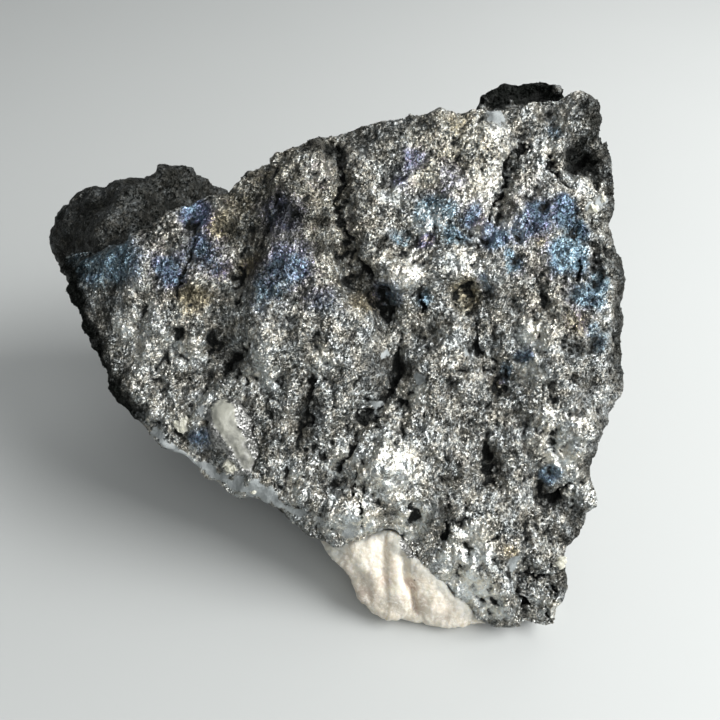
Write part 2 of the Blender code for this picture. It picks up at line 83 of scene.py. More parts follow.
# Ledges of the broad face: path, rise of the ground on its left side, how far the rise reaches
# and how wide the cliff is
LEDGES = [
    ([(-1.6, 15.2), (-0.3, 13.8), (2.4, 11.7), (4.2, 8.8), (4.9, 5.8)], 1.0, 5.5, 1.5),
    ([(7.6, 4.0), (5.6, 1.6), (4.6, -4.6), (0.2, -7.8)], 0.8, 4.5, 1.4),
    ([(-9.6, 24.5), (-11.4, 16.5), (-14.0, 9.6), (-18.0, 1.8)], 1.1, 7.0, 3.0),
    ([(-2.0, 26.5), (-1.2, 20.5), (-1.0, 15.5)], 0.7, 4.0, 2.2),
    ([(2.6, 14.1), (5.0, 13.5), (7.2, 13.7)], 0.4, 2.2, 0.5),
    ([(9.0, 15.2), (11.6, 15.5), (14.2, 14.9)], 0.45, 2.6, 0.5),
    ([(21.8, 29.4), (20.4, 25.2), (18.6, 21.6), (17.4, 18.0)], 0.7, 4.5, 1.4),
    ([(29.4, 29.0), (26.0, 27.4), (24.6, 23.0), (21.8, 20.6)], 0.5, 4.0, 1.2),
    ([(10.8, 7.6), (11.3, 10.0), (13.4, 10.9), (15.2, 10.3), (16.2, 7.6)], 0.6, 2.4, 0.8),
    ([(14.4, 6.4), (14.9, 3.2), (16.2, -0.4)], 0.6, 3.2, 0.8),
    ([(29.4, 16.4), (30.4, 12.2), (29.8, 8.4)], 0.9, 3.0, 0.6),
    ([(-12.6, 4.4), (-14.4, 0.4), (-17.0, -1.9), (-20.4, -2.6)], 1.0, 4.0, 0.8),
    ([(-5.0, -0.6), (-6.2, -6.0), (-7.8, -12.0)], 1.1, 4.5, 0.9),
    ([(10.9, -16.4), (10.6, -20.0), (11.2, -24.0)], 0.5, 3.2, 0.8),
    ([(17.2, -7.6), (16.2, -13.0), (17.6, -18.4)], 0.5, 3.6, 1.0),
    ([(29.0, -14.0), (25.6, -18.0), (22.0, -21.6)], 1.0, 3.6, 0.7),
    ([(-31.8, 10.6), (-32.2, 6.6), (-30.8, 2.6)], 0.5, 5.0, 1.8),
    ([(-28.6, 19.0), (-30.4, 12.0), (-33.4, 4.4)], 0.9, 6.0, 4.0),
    ([(0.8, -9.6), (-1.6, -13.0), (-5.6, -16.0)], 0.7, 4.0, 1.2),
    ([(8.4, -1.4), (9.4, -6.0), (8.2, -11.0)], 0.3, 3.2, 1.0),
    ([(24.6, 8.0), (23.0, 2.4), (23.8, -3.4)], 0.35, 3.4, 1.0),
    ([(22.6, -4.6), (21.2, -9.4), (22.4, -14.0)], 0.4, 3.4, 1.0),
    ([(-24.6, 2.2), (-26.2, -2.0), (-24.0, -6.4)], 0.6, 3.4, 0.9),
    ([(5.4, -23.6), (6.4, -19.6), (4.2, -16.2)], 0.5, 3.0, 0.6),
    ([(15.0, -24.0), (16.4, -28.0), (18.8, -31.4)], 0.6, 3.0, 0.6),
]

# Places where the relief is low, and where it is drawn into silky streaks: centre, radius, strength
CALM = [
    ((5.0, 24.0), 8.0, 0.8), ((11.0, 20.0), 8.0, 0.8), ((2.0, 18.0), 5.0, 0.7),
    ((-16.0, 16.0), 9.0, 0.6), ((-24.0, 12.0), 8.0, 0.5), ((18.0, 28.0), 6.0, 0.6),
    ((23.0, 22.0), 6.0, 0.5), ((-12.0, 4.0), 6.0, 0.4), ((-26.0, 5.0), 8.0, 0.5),
    ((6.0, 12.0), 5.5, 0.7), ((12.6, 12.6), 4.0, 0.6), ((-9.0, 15.0), 8.0, 0.45),
    ((-4.0, 7.0), 5.5, 0.55), ((3.0, 8.4), 3.0, 0.8), ((-30.0, 11.0), 7.0, 0.5),
    ((-36.0, 10.0), 6.0, 0.6), ((24.0, 15.6), 5.0, 0.4), ((-0.6, -19.8), 3.6, 0.4),
]
SILK = [
    ((-8.0, 20.0), 9.0, 1.0), ((-14.0, 14.0), 8.0, 0.8), ((-31.0, 12.0), 7.0, 0.7),
    ((26.0, 27.0), 6.0, 0.7), ((23.0, -30.0), 4.0, 0.5), ((-9.0, 8.0), 6.0, 0.7),
    ((17.0, 24.0), 4.0, 0.5), ((-24.0, 4.0), 6.0, 0.3),
]

# Pits: centre, half sizes, depth
PITS = [
    ((28.9, 26.2), (2.8, 2.2), 0.5),
    ((13.4, 8.6), (1.9, 1.5), 0.4),
    ((-16.6, -0.6), (1.9, 2.4), 0.9),
    ((26.6, 2.2), (0.9, 1.2), 0.5),
    ((18.2, -2.6), (1.4, 1.9), 0.6),
    ((16.6, -12.6), (1.1, 1.6), 0.5),
    ((26.2, -17.6), (2.0, 1.5), 0.7),
    ((-11.0, 20.6), (1.4, 2.8), 0.4),
]

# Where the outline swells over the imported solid: centre, radius, growth
SWELLINGS = [
    ((33.0, 24.0, -3.0), 9.0, 0.9), ((34.0, 12.0, -3.0), 8.0, 0.8), ((33.0, 3.0, -3.0), 6.0, 1.0),
    ((33.0, -3.4, -3.0), 6.0, 0.8), ((31.0, -10.0, -3.0), 6.0, 0.8), ((-43.6, 20.4, -16.0), 5.0, 1.6), ((-35.5, 25.6, -16.0), 5.0, 1.2),
    ((30.0, -20.0, -3.0), 8.0, 0.8), ((30.0, 33.0, -3.0), 6.0, 1.0), ((-40.4, 23.4, -16.0), 5.0, 1.6),
    ((-27.4, 27.6, -14.0), 3.2, 1.3), ((19.0, 35.0, -6.0), 4.0, 1.2), ((-4.0, 28.5, -4.0), 7.0, 0.5),
    ((-37.0, 5.0, -5.0), 7.0, 1.0), ((-18.0, -14.0, -4.0), 6.0, 0.4), ((-11.0, 27.0, -4.0), 5.0, 0.5),
    ((8.0, 31.0, -4.0), 7.0, 0.4),
]

# The face's left end slopes back from this line: where it starts, how deep, and its slope
LEFT_END = (-28.5, -1.5, 0.3)

# Tarnish on the broad face: centre, radius, strength, and how thick the film is, from 0, which
# is bronze, over violet and blue to 1, which is teal
TARNISH = [
    ((-21.4, 18.9), 3.0, 1.0, 0.62), ((-24.6, 16.0), 2.4, 0.4, 0.2), ((-24.4, 11.6), 3.0, 0.9, 0.66),
    ((-20.4, 14.4), 3.2, 0.8, 0.78), ((-31.6, 13.0), 4.6, 0.8, 0.74), ((-35.0, 10.6), 3.0, 0.6, 0.7),
    ((-10.6, 18.6), 3.8, 0.7, 0.66), ((-9.2, 12.0), 4.2, 0.8, 0.72), ((-11.6, 8.8), 3.4, 0.7, 0.76),
    ((6.4, 25.4), 2.4, 0.75, 0.62), ((5.4, 22.6), 2.2, 0.65, 0.62), ((14.4, 18.8), 2.0, 0.8, 0.68),
    ((9.6, 19.0), 3.2, 0.8, 0.92), ((12.2, 16.4), 2.4, 0.8, 0.8), ((5.2, 16.0), 1.8, 0.8, 0.86),
    ((17.6, 15.6), 2.6, 0.9, 0.66), ((20.8, 16.8), 2.6, 0.8, 0.62), ((22.6, 18.8), 2.6, 1.0, 0.6),
    ((26.2, 18.9), 2.8, 1.0, 0.62), ((27.6, 16.2), 2.4, 0.9, 0.68), ((26.4, 13.4), 3.4, 0.9, 0.84),
    ((29.4, 8.8), 3.2, 0.8, 0.88), ((19.8, 12.8), 1.8, 0.8, 0.86), ((30.2, 2.8), 2.4, 0.7, 0.7),
    ((21.0, 0.8), 1.9, 0.8, 0.64), ((19.2, -1.8), 1.7, 0.7, 0.66), ((24.6, -14.6), 1.4, 0.8, 0.62),
    ((-20.4, -10.2), 2.2, 0.8, 0.58), ((8.4, 7.6), 1.5, 0.8, 0.7), ((-4.6, 7.6), 2.8, 0.6, 0.68),
    ((3.2, 8.6), 2.4, 0.7, 0.62), ((16.4, 9.8), 1.2, 0.6, 0.7), ((24.6, 29.6), 1.8, 0.6, 0.66),
    ((-18.4, 12.2), 2.2, 0.7, 0.42), ((8.4, 15.6), 1.3, 0.9, 0.36), ((23.6, 17.0), 1.6, 0.6, 0.44),
    ((-5.6, 24.2), 2.2, 0.4, 0.4), ((-26.0, 14.2), 1.8, 0.5, 0.4), ((11.6, 23.4), 2.4, 0.5, 0.72),
    ((-15.6, 20.4), 4.0, 0.6, 0.1), ((-12.2, 15.4), 2.6, 0.5, 0.12), ((-17.8, 17.8), 3.2, 0.8, 0.12), ((-21.8, 8.2), 2.8, 0.9, 0.08), ((-14.8, 12.0), 2.4, 0.8, 0.14),
    ((12.8, 30.4), 2.8, 0.7, 0.1), ((0.6, 7.6), 2.4, 0.8, 0.12), ((13.4, 8.4), 2.8, 0.8, 0.1),
    ((27.4, 5.0), 2.2, 0.7, 0.16), ((17.8, -3.2), 1.8, 0.7, 0.16), ((18.6, -24.4), 1.7, 0.8, 0.1),
    ((22.9, 15.0), 1.6, 0.7, 0.12), ((-12.6, 24.4), 3.4, 0.6, 0.14), ((9.4, 27.6), 2.6, 0.5, 0.2),
    ((22.8, 3.8), 1.8, 0.5, 0.16), ((-6.4, 9.4), 3.0, 0.4, 0.18), ((15.6, 17.4), 1.3, 0.6, 0.16),
    ((-8.0, 18.0), 15.0, 0.5, 0.1), ((12.0, 26.0), 10.0, 0.5, 0.06), ((25.0, 9.0), 9.0, 0.45, 0.16),
    ((-22.0, 12.0), 10.0, 0.45, 0.16), ((-36.0, 12.0), 4.0, 0.8, 0.72), ((20.0, 18.0), 9.0, 0.4, 0.3),
    ((-1.0, 17.0), 3.0, 0.3, 0.3), ((-28.0, 5.0), 2.6, 0.4, 0.68), ((-3.6, -2.6), 2.4, 0.3, 0.1),
]

# Dark places, partly a dark film and partly painted shade in pits, cracks and on slopes turned from the light:
# centre, radius, strength
SOOT_AND_SHADE = [
    ((-38.4, 12.0), 6.0, 0.2), ((28.9, 26.2), 3.8, 0.75), ((30.8, 24.6), 2.4, 0.6),
    ((26.6, 28.4), 2.0, 0.4), ((14.8, 3.2), 1.6, 0.4), ((28.6, -7.2), 3.4, 0.4),
    ((-16.6, -0.6), 3.2, 0.5), ((-5.8, -5.6), 2.8, 0.6), ((5.0, -1.6), 3.0, 0.6),
    ((1.6, 9.6), 3.0, 0.35), ((-1.6, 20.5), 2.6, 0.5), ((20.2, 25.4), 1.8, 0.6),
    ((30.2, 12.2), 1.8, 0.6), ((-9.4, 18.0), 4.4, 0.6), ((26.0, -18.0), 3.4, 0.5),
    ((11.2, -19.4), 2.2, 0.5), ((0.0, 29.4), 4.0, 0.45), ((5.4, 28.6), 3.6, 0.35), ((-3.2, 26.8), 3.4, 0.45),
    ((-17.0, 22.2), 2.6, 0.4), ((-4.8, 18.2), 2.8, 0.4), ((2.6, -0.6), 3.4, 0.6), ((29.2, -3.2), 3.0, 0.5),
    ((18.4, 34.4), 2.0, 1.0), ((20.8, 35.4), 1.8, 0.9), ((2.7, 15.2), 2.0, 0.4), ((-10.6, 6.2), 3.0, 0.35),
    ((-15.6, -6.1), 2.2, 0.5), ((11.9, -7.6), 2.0, 0.35), ((26.3, 1.0), 2.0, 0.4), ((1.8, -3.6), 2.4, 0.5),
    ((12.4, -12.4), 2.4, 0.35), ((-23.0, -5.4), 2.4, 0.35), ((32.4, 18.6), 2.4, 0.5),
    ((-6.4, 28.4), 3.6, 0.6), ((16.8, -12.4), 2.4, 0.4), ((-23.0, -3.0), 4.0, 0.3),
    ((30.8, 14.8), 1.6, 0.5), ((17.8, -2.4), 2.4, 0.4), ((31.4, 27.6), 3.0, 0.5),
    ((-13.4, 24.0), 3.6, 0.5), ((-21.6, 8.6), 2.6, 0.45), ((24.0, 18.6), 3.4, 0.4),
    ((-15.6, -16.4), 0.9, 0.9), ((-14.7, -7.1), 2.6, 0.45), ((29.6, 32.4), 4.0, 0.6),
    ((20.0, -20.4), 2.6, 0.4), ((28.0, -22.0), 2.6, 0.5), ((-12.4, 11.4), 3.6, 0.6),
    ((-13.0, 18.0), 8.5, 0.5), ((-23.0, 14.4), 5.0, 0.4), ((-2.6, 25.0), 3.6, 0.45),
    ((-4.8, 15.3), 3.0, 0.4), ((2.3, 26.6), 3.6, 0.35),
    ((0.0, 20.6), 3.4, 0.5), ((4.2, 15.7), 2.0, 0.4), ((25.6, 5.6), 2.4, 0.4),
    ((-3.4, 26.2), 3.0, 0.85), ((-18.2, 22.8), 3.2, 0.65), ((-16.7, 17.0), 3.0, 0.7),
    ((-32.4, 6.4), 3.6, 0.55), ((-22.9, -6.1), 2.6, 0.6), ((-10.7, 5.1), 2.4, 0.55),
    ((-9.1, 2.2), 2.0, 0.5), ((11.7, -8.7), 2.2, 0.6), ((27.9, -5.5), 2.4, 0.6),
    ((27.4, 1.4), 2.2, 0.65), ((30.2, 2.0), 2.0, 0.6), ((2.9, 14.9), 2.0, 0.65),
    ((-5.4, 14.6), 2.6, 0.65), ((-4.8, 17.8), 2.4, 0.65), ((18.6, -19.2), 2.4, 0.5),
    ((-8.2, 22.9), 2.6, 0.55), ((-38.2, 11.2), 4.0, 0.6),
]
# Painted shade along the outline's edges that face away from the light: path, width, strength
PAINTED_EDGE_SHADE = [
    ([(-39.6, 13.3), (-38.6, 9.4), (-37.0, 5.3), (-35.5, 1.3), (-33.9, -2.6), (-30.5, -7.7)], 4.2, 0.85),
    ([(-12.0, 25.4), (-4.6, 28.4), (2.0, 30.0), (9.0, 30.8)], 1.2, 0.4),
    ([(-38.6, 13.0), (-32.0, 15.6), (-26.0, 18.0), (-23.6, 20.6)], 1.2, 0.5),
    ([(29.4, 33.0), (32.0, 28.0), (33.4, 20.0), (34.0, 9.0), (33.6, -1.5)], 3.2, 0.65),
    ([(33.6, -1.5), (30.0, -12.0), (27.6, -22.0), (26.4, -31.0)], 2.8, 0.6),
]
# Painted highlights, where facets catch the light: centre, radius, strength
PAINTED_HIGHLIGHTS = [
    ((-3.8, 24.8), 2.4, 0.6), ((15.4, 21.8), 4.6, 0.7), ((5.6, 11.4), 3.6, 0.9),
    ((13.4, 12.2), 2.8, 0.8), ((-12.4, 2.6), 3.2, 0.5), ((3.8, -14.0), 5.6, 1.0),
    ((-0.8, -19.8), 4.4, 1.0), ((28.0, 22.4), 2.6, 0.5), ((25.4, -7.8), 4.6, 0.6),
    ((23.0, 2.8), 3.0, 0.7), ((-27.0, 2.4), 5.0, 0.5), ((12.8, -26.6), 5.0, 0.9),
    ((10.6, -9.4), 3.6, 0.2), ((-19.6, -6.0), 3.6, 0.5), ((16.0, 29.6), 2.8, 0.6),
    ((24.0, -32.0), 2.8, 0.5), ((6.6, 4.0), 2.0, 0.4), ((20.8, -9.6), 3.0, 0.4),
    ((14.8, -29.6), 3.8, 1.5), ((-13.6, -2.4), 2.4, 0.6), ((4.4, -6.8), 2.2, 0.6),
    ((-24.0, -6.6), 3.0, 0.4), ((18.4, -19.0), 2.0, 0.3), ((22.3, 2.9), 2.4, 1.0),
    ((7.8, -4.3), 1.8, 0.8), ((6.5, -21.6), 2.0, 0.8), ((-2.0, -12.1), 2.6, 0.7),
    ((14.5, -22.0), 2.8, 1.2), ((25.3, -12.4), 3.2, 1.1), ((22.0, 3.0), 3.2, 1.1), ((15.8, 16.0), 2.4, 1.0), ((8.4, 17.4), 3.0, 0.9), ((18.6, 17.3), 2.2, 1.0),
    ((13.6, -28.2), 3.0, 1.5), ((15.2, -24.4), 3.0, 1.4), ((10.4, -25.6), 1.8, 1.2), ((28.0, -16.6), 3.0, 0.7),
    ((6.8, -4.8), 2.4, 0.8), ((6.4, -20.2), 2.4, 0.8), ((-12.2, -2.2), 2.6, 0.8), ((-30.2, 4.2), 2.8, 0.8),
    ((14.1, 8.6), 2.0, 0.6), ((16.2, -31.2), 2.6, 1.2), ((24.4, 27.2), 2.0, 0.6), ((18.4, 17.6), 1.6, 0.6),
    ((21.8, -1.3), 2.0, 0.9), ((7.3, -4.2), 2.0, 1.1), ((20.4, 16.1), 1.8, 1.0),
    ((16.7, -31.7), 2.2, 1.5), ((-22.4, 1.1), 2.6, 0.8),
    ((32.0, -5.5), 2.4, 0.3), ((4.0, 21.8), 2.4, 0.8), ((-2.9, -13.3), 2.0, 0.9),
    ((-4.3, 0.0), 2.2, 0.8), ((-8.5, -15.9), 2.4, 0.9), ((6.9, -19.9), 2.2, 1.2),
]

# Grey, glassy gangue in the ore: centre, radius, strength, and the strip along the lower left
GANGUE = [
    ((17.6, 31.4), 1.5, 0.9), ((31.6, 21.0), 1.2, 0.9), ((30.0, 19.6), 1.3, 0.8),
    ((3.4, 0.6), 0.9, 0.7), ((8.0, -2.2), 1.2, 0.8), ((2.4, -6.0), 1.1, 0.8),
    ((13.6, 1.0), 0.8, 0.6), ((19.4, -25.6), 1.4, 0.7), ((23.4, 30.6), 1.2, 0.4),
    ((3.0, -22.4), 1.8, 0.5), ((-1.6, -22.2), 2.4, 0.55), ((-5.4, -20.8), 2.2, 0.5),
    ((-17.6, -15.2), 1.3, 0.7), ((-15.8, -15.9), 1.7, 0.8), ((-13.4, -16.6), 1.6, 0.9),
    ((-11.4, -17.2), 1.4, 0.9), ((-20.4, -6.6), 1.3, 0.6), ((-18.9, -7.2), 1.1, 0.6),
    ((9.4, -27.0), 1.4, 0.5), ((13.4, -31.0), 1.2, 0.5),
]
GANGUE_STRIP = [(-27.0, -9.4), (-22.3, -12.7), (-18.9, -14.6), (-14.0, -17.0), (-7.6, -19.8)]
GANGUE_STRIP_WIDTH = 0.7

# Small pale pieces set in the face: centre, half sizes, height above the ore, tilt in degrees
# and how angular they are, from 0 to 1
WHITE_BLEBS = [
    ((-16.3, -13.4), (1.35, 1.0, 0.5), 0.12, 20.0, 1.0),
    ((-16.8, -12.0), (0.9, 0.6, 0.4), 0.1, -30.0, 1.0),
    ((-23.0, -8.4), (1.1, 1.1, 0.45), 0.1, 10.0, 0.2),
    ((-13.8, -16.9), (0.5, 0.45, 0.35), -0.1, 0.0, 0.5),
    ((25.8, -26.0), (0.95, 0.7, 0.45), -0.1, -15.0, 0.8),
    ((31.6, 20.8), (0.45, 1.3, 0.4), -0.15, -10.0, 0.6),
    ((29.7, 19.4), (1.1, 0.5, 0.4), -0.15, 20.0, 0.6),
]

# The clear quartz runs down this path in its socket: spot and half width
QUARTZ_CORE = [(-17.4, -6.8), (-16.8, -8.6), (-15.4, -10.8), (-14.3, -13.2)]
QUARTZ_CORE_WIDTHS = (1.7, 0.85)

# Calcite: furrows between its ribs, as path, half width, depth; its grey, cream and pink places
CALCITE_FURROWS = [
    ([(2.9, -23.6), (3.1, -27.0), (3.7, -32.0)], 1.6, 0.3),
    ([(5.4, -25.4), (6.1, -28.4), (7.4, -32.4)], 1.0, 0.8),
    ([(-1.6, -25.0), (0.4, -28.6), (1.8, -32.2)], 1.8, 0.15),
    ([(10.0, -28.6), (11.2, -32.4)], 1.4, 0.15),
]
CALCITE_EDGE = [
    (-3.4, -23.6), (-0.1, -22.7), (2.9, -21.7), (4.7, -21.7), (5.6, -23.0), (6.3, -25.4),
    (7.8, -25.9), (9.3, -27.0), (10.6, -27.6), (11.5, -29.4), (13.5, -31.4), (15.0, -32.9),
]
CALCITE_GREY = [
    ((-3.2, -24.4), 2.4, 0.9), ((2.4, -21.6), 2.6, 1.0), ((5.4, -24.0), 2.2, 0.9),
    ((6.6, -26.8), 1.6, 0.7), ((9.0, -26.8), 1.8, 0.6), ((-0.6, -22.8), 1.4, 0.5),
    ((13.0, -29.4), 1.4, 0.5), ((-2.4, -27.6), 1.6, 0.8), ((-0.4, -31.0), 1.2, 0.6),
]
CALCITE_CREAM = [
    ((0.6, -26.2), 2.0, 0.9), ((4.6, -29.2), 1.8, 0.9), ((9.0, -30.2), 2.4, 0.5),
    ((1.6, -24.4), 1.4, 0.6), ((13.6, -32.6), 1.6, 0.6),
    # This last cream place, at the bottom edge, is a painted glow of light shining through
    ((10.4, -33.2), 3.0, 1.0),
]
CALCITE_PINK = [
    ((3.2, -28.6), 1.3, 0.8), ((6.6, -29.4), 1.2, 1.0), ((0.8, -30.4), 2.0, 0.8),
    ((10.6, -32.6), 3.0, 0.3), ((-1.8, -27.4), 1.4, 0.6), ((7.6, -31.8), 1.6, 0.7),
]
CALCITE_SPECK = ((7.2, -28.4), 0.16, 1.0)


class OreSettings(bpy.types.PropertyGroup):
    voxel: FloatProperty(
        name="Mesh size",
        description="Size of the ore's mesh squares before it is thinned",
        default=0.00023,
        unit="LENGTH",
    )
    triangles: IntProperty(
        name="Triangles", description="Triangles left in the ore's mesh", default=192000
    )
    shard: FloatProperty(
        name="Shard size",
        description="Size of the largest broken facets that the mesh shows",
        default=0.0034,
        unit="LENGTH",
    )
    relief: FloatProperty(
        name="Relief",
        description="Height of the largest broken facets",
        default=0.00085,
        unit="LENGTH",
    )
    steel: FloatVectorProperty(
        name="Steel",
        description="Colour of the clean metal",
        default=(0.62, 0.62, 0.6),
        subtype="COLOR",
    )
    dull: FloatVectorProperty(
        name="Dull metal",
        description="Colour of the darkest grains",
        default=(0.06, 0.062, 0.056),
        subtype="COLOR",
    )
    cool: FloatVectorProperty(
        name="Cool tint", description="Tint of the coolest grains", default=(0.9, 0.96, 1.0)
    )
    warm: FloatVectorProperty(
        name="Warm tint", description="Tint of the warmest grains", default=(1.0, 0.95, 0.85)
    )
    # Colour of the dark film, also used as painted shade in pits, cracks, hollows and on slopes turned from
    # the light
    soot_and_shade: FloatVectorProperty(
        name="Dark film",
        description="Colour of the blackened places",
        default=(0.008, 0.009, 0.008),
        subtype="COLOR",
    )
    bronze: FloatVectorProperty(
        name="Thinnest film",
        description="Bronze tarnish",
        default=(0.46, 0.4, 0.26),
        subtype="COLOR",
    )
    violet: FloatVectorProperty(
        name="Thin film", description="Violet tarnish", default=(0.22, 0.18, 0.32), subtype="COLOR"
    )
    blue: FloatVectorProperty(
        name="Film", description="Blue tarnish", default=(0.12, 0.185, 0.3), subtype="COLOR"
    )
    teal: FloatVectorProperty(
        name="Thick film", description="Teal tarnish", default=(0.24, 0.4, 0.48), subtype="COLOR"
    )
    straw: FloatVectorProperty(
        name="Thickest film",
        description="Pale greenish tarnish",
        default=(0.55, 0.6, 0.52),
        subtype="COLOR",
    )
    gangue: FloatVectorProperty(
        name="Gangue",
        description="Colour of the grey glassy gangue",
        default=(0.37, 0.4, 0.4),
        subtype="COLOR",
    )


class GrainSettings(bpy.types.PropertyGroup):
    tips: IntProperty(name="Tips", description="Crystal tips on the ore", default=20000)
    blocks: IntProperty(name="Blocks", description="Crystal blocks on the ore", default=9000)
    smallest: FloatProperty(
        name="Smallest",
        description="Size of the smallest grains",
        default=0.00013,
        unit="LENGTH",
    )
    largest: FloatProperty(
        name="Largest", description="Size of the largest grains", default=0.0004, unit="LENGTH"
    )
    sink: FloatProperty(
        name="Sink",
        description="How deep a grain's middle lies in the ore",
        default=0.00008,
        unit="LENGTH",
    )
    seed: IntProperty(name="Seed", description="Another number, another scatter", default=7)


class CalciteSettings(bpy.types.PropertyGroup):
    voxel: FloatProperty(
        name="Mesh size",
        description="Size of the calcite's mesh squares",
        default=0.00015,
        unit="LENGTH",
    )
    grow: FloatProperty(
        name="Growth",
        description="How far the calcite grows over its seam with the ore",
        default=0.00042,
        unit="LENGTH",
    )
    cream: FloatVectorProperty(
        name="Cream", description="Bright ribs", default=(0.8, 0.75, 0.64), subtype="COLOR"
    )
    white: FloatVectorProperty(
        name="White", description="Veins and flecks", default=(0.9, 0.88, 0.81), subtype="COLOR"
    )
    body: FloatVectorProperty(
        name="Body", description="General colour", default=(0.62, 0.56, 0.46), subtype="COLOR"
    )
    pink: FloatVectorProperty(
        name="Pink", description="Pinkish parts", default=(0.5, 0.4, 0.32), subtype="COLOR"
    )
    grey: FloatVectorProperty(
        name="Grey", description="Clear grey parts", default=(0.4, 0.4, 0.36), subtype="COLOR"
    )


class QuartzSettings(bpy.types.PropertyGroup):
    voxel: FloatProperty(
        name="Mesh size",
        description="Size of the quartz's mesh squares",
        default=0.00016,
        unit="LENGTH",
    )
    grow: FloatProperty(
        name="Growth",
        description="How far the quartz grows over its seam with the ore",
        default=0.0004,
        unit="LENGTH",
    )
    milk: FloatVectorProperty(
        name="Milk", description="Milky parts", default=(0.36, 0.36, 0.31), subtype="COLOR"
    )
    clear: FloatVectorProperty(
        name="Clear", description="Clear grey parts", default=(0.17, 0.17, 0.155), subtype="COLOR"
    )
    flake: FloatVectorProperty(
        name="Flakes",
        description="Colour of the small white blebs",
        default=(0.58, 0.57, 0.48),
        subtype="COLOR",
    )


class StageSettings(bpy.types.PropertyGroup):
    floor: FloatVectorProperty(
        name="Floor", description="Colour of the floor", default=(0.5, 0.515, 0.505), subtype="COLOR"
    )
    key: FloatProperty(name="Key light", description="Power in watts", default=3.6)
    fill: FloatProperty(name="Fill light", description="Power in watts", default=1.4)
    back: FloatProperty(name="Back light", description="Power in watts", default=1.6)
    sky: FloatProperty(name="Surroundings", description="Brightness of the room", default=0.2)
    lens: FloatProperty(
        name="Lens", description="Focal length in millimetres on a 36 mm sensor", default=38.05
    )
    distance: FloatProperty(
        name="Distance",
        description="From the camera to the broad face",
        default=0.097,
        unit="LENGTH",
    )


# Shapes in numbers: noise, shards and paths over many points at once


def smooth(values, low, high):
    share = np.clip((values - low) / (high - low), 0.0, 1.0)
    return share * share * (3.0 - 2.0 * share)


def scramble(cells, seed):
    """Three random numbers from 0 to 1 for each whole-number cell."""
    whole = cells.astype(np.int64).astype(np.uint64)
    mixed = whole[:, 0] * np.uint64(0x9E3779B185EBCA87)
    mixed ^= whole[:, 1] * np.uint64(0xC2B2AE3D27D4EB4F)
    mixed ^= whole[:, 2] * np.uint64(0x165667B19E3779F9)
    mixed += np.uint64(seed * 7919 + 13)
    for shift in (29, 32):
        mixed ^= mixed >> np.uint64(shift)
        mixed *= np.uint64(0xBF58476D1CE4E5B9)
    parts = [(mixed >> np.uint64(shift)) & np.uint64(0xFFFFF) for shift in (2, 22, 42)]
    return np.column_stack(parts) / float(0xFFFFF)


def swell(points, size, seed):
    """Smooth noise from about -1 to 1, with lumps of about the given size."""
    spots = points / size
    base = np.floor(spots)
    part = spots - base
    fade = part * part * (3.0 - 2.0 * part)
    total = np.zeros(len(points))
    for corner in np.ndindex(2, 2, 2):
        slope = scramble(base + corner, seed) * 2.0 - 1.0
        rise = ((part - corner) * slope).sum(axis=1)
        total += rise * np.where(corner, fade, 1.0 - fade).prod(axis=1)
    return total * 1.7


def shards(points, size, seed):
    """Broken facets of about the given size: in each cell a plane with its own tilt and height."""
    spots = points / size
    base = np.floor(spots)
    nearest = np.full(len(points), np.inf)
    offset = np.zeros_like(points)
    owner = np.zeros_like(points)
    for step in np.ndindex(3, 3, 3):
        cell = base + (np.array(step) - 1)
        gap = spots - cell - scramble(cell, seed)
        far = (gap * gap).sum(axis=1)
        closer = far < nearest
        nearest = np.where(closer, far, nearest)
        offset = np.where(closer[:, None], gap, offset)
        owner = np.where(closer[:, None], cell, owner)
    tilt = scramble(owner, seed + 1) * 2.0 - 1.0
    level = scramble(owner, seed + 2)[:, 0] - 0.5
    return (offset * tilt).sum(axis=1) + 0.5 * level


def unit(vectors):
    return vectors / np.maximum(np.linalg.norm(vectors, axis=1), 1e-9)[:, None]


def crystals(points, size, seed):
    """Crystal blocks of about the given size, turned every way and grown into one another."""
    spots = points / size
    base = np.floor(spots)
    highest = np.full(len(points), -np.inf)
    for step in np.ndindex(3, 3, 3):
        cell = base + (np.array(step) - 1)
        gap = spots - cell - scramble(cell, seed)
        first = unit(scramble(cell, seed + 1) - 0.5)
        other = scramble(cell, seed + 2)
        second = unit(np.cross(first, other - 0.5))
        third = np.cross(first, second)
        reach = np.abs((gap * first).sum(axis=1))
        for axis, share in ((second, 0.9), (third, 0.8)):
            reach = np.maximum(reach, share * np.abs((gap * axis).sum(axis=1)))
        highest = np.maximum(highest, 0.35 * (other[:, 0] - 0.5) - reach)
    return 1.6 * (highest + 0.33)


def follow(spots, path):
    """How far each spot lies from the path, on which side, and how far along it from 0 to 1."""
    nearest = np.full(len(spots), np.inf)
    side = np.ones(len(spots))
    travel = np.zeros(len(spots))
    for index, (start, end) in enumerate(zip(path, path[1:])):
        start = np.array(start)
        along = np.array(end) - start
        offset = spots - start
        share = np.clip(offset @ along / (along @ along), 0.0, 1.0)
        far = np.linalg.norm(offset - share[:, None] * along, axis=1)
        closer = far < nearest
        nearest = np.where(closer, far, nearest)
        left = along[0] * offset[:, 1] - along[1] * offset[:, 0]
        side = np.where(closer, np.where(left > 0.0, 1.0, -1.0), side)
        travel = np.where(closer, (index + share) / (len(path) - 1), travel)
    return nearest, side, travel


def path_distance(spots, path):
    return follow(spots, path)[0]


def terrace(spots, ledges):
    """Ground that rises at a cliff along each path's left side and then slopes away again."""
    height = np.zeros(len(spots))
    for path, rise, reach, width in ledges:
        near, side, travel = follow(spots, path)
        across = near * side
        ends = smooth(travel, 0.0, 0.3) * smooth(1.0 - travel, 0.0, 0.3)
        plateau = smooth(across, -0.5 * width, 0.5 * width) * smooth(-near, -reach, 0.0)
        foot = smooth(-near, -0.7 * reach, 0.0) - plateau
        height += rise * ends * (0.75 * plateau - 0.25 * np.clip(foot, 0.0, 1.0))
    return height


def outgrowth(points, swellings):
    growth = np.zeros(len(points))
    for centre, radius, amount in swellings:
        reach = np.linalg.norm(points - np.array(centre), axis=1) / radius
        growth = np.maximum(growth, amount * smooth(-reach, -1.0, -0.35))
    return growth


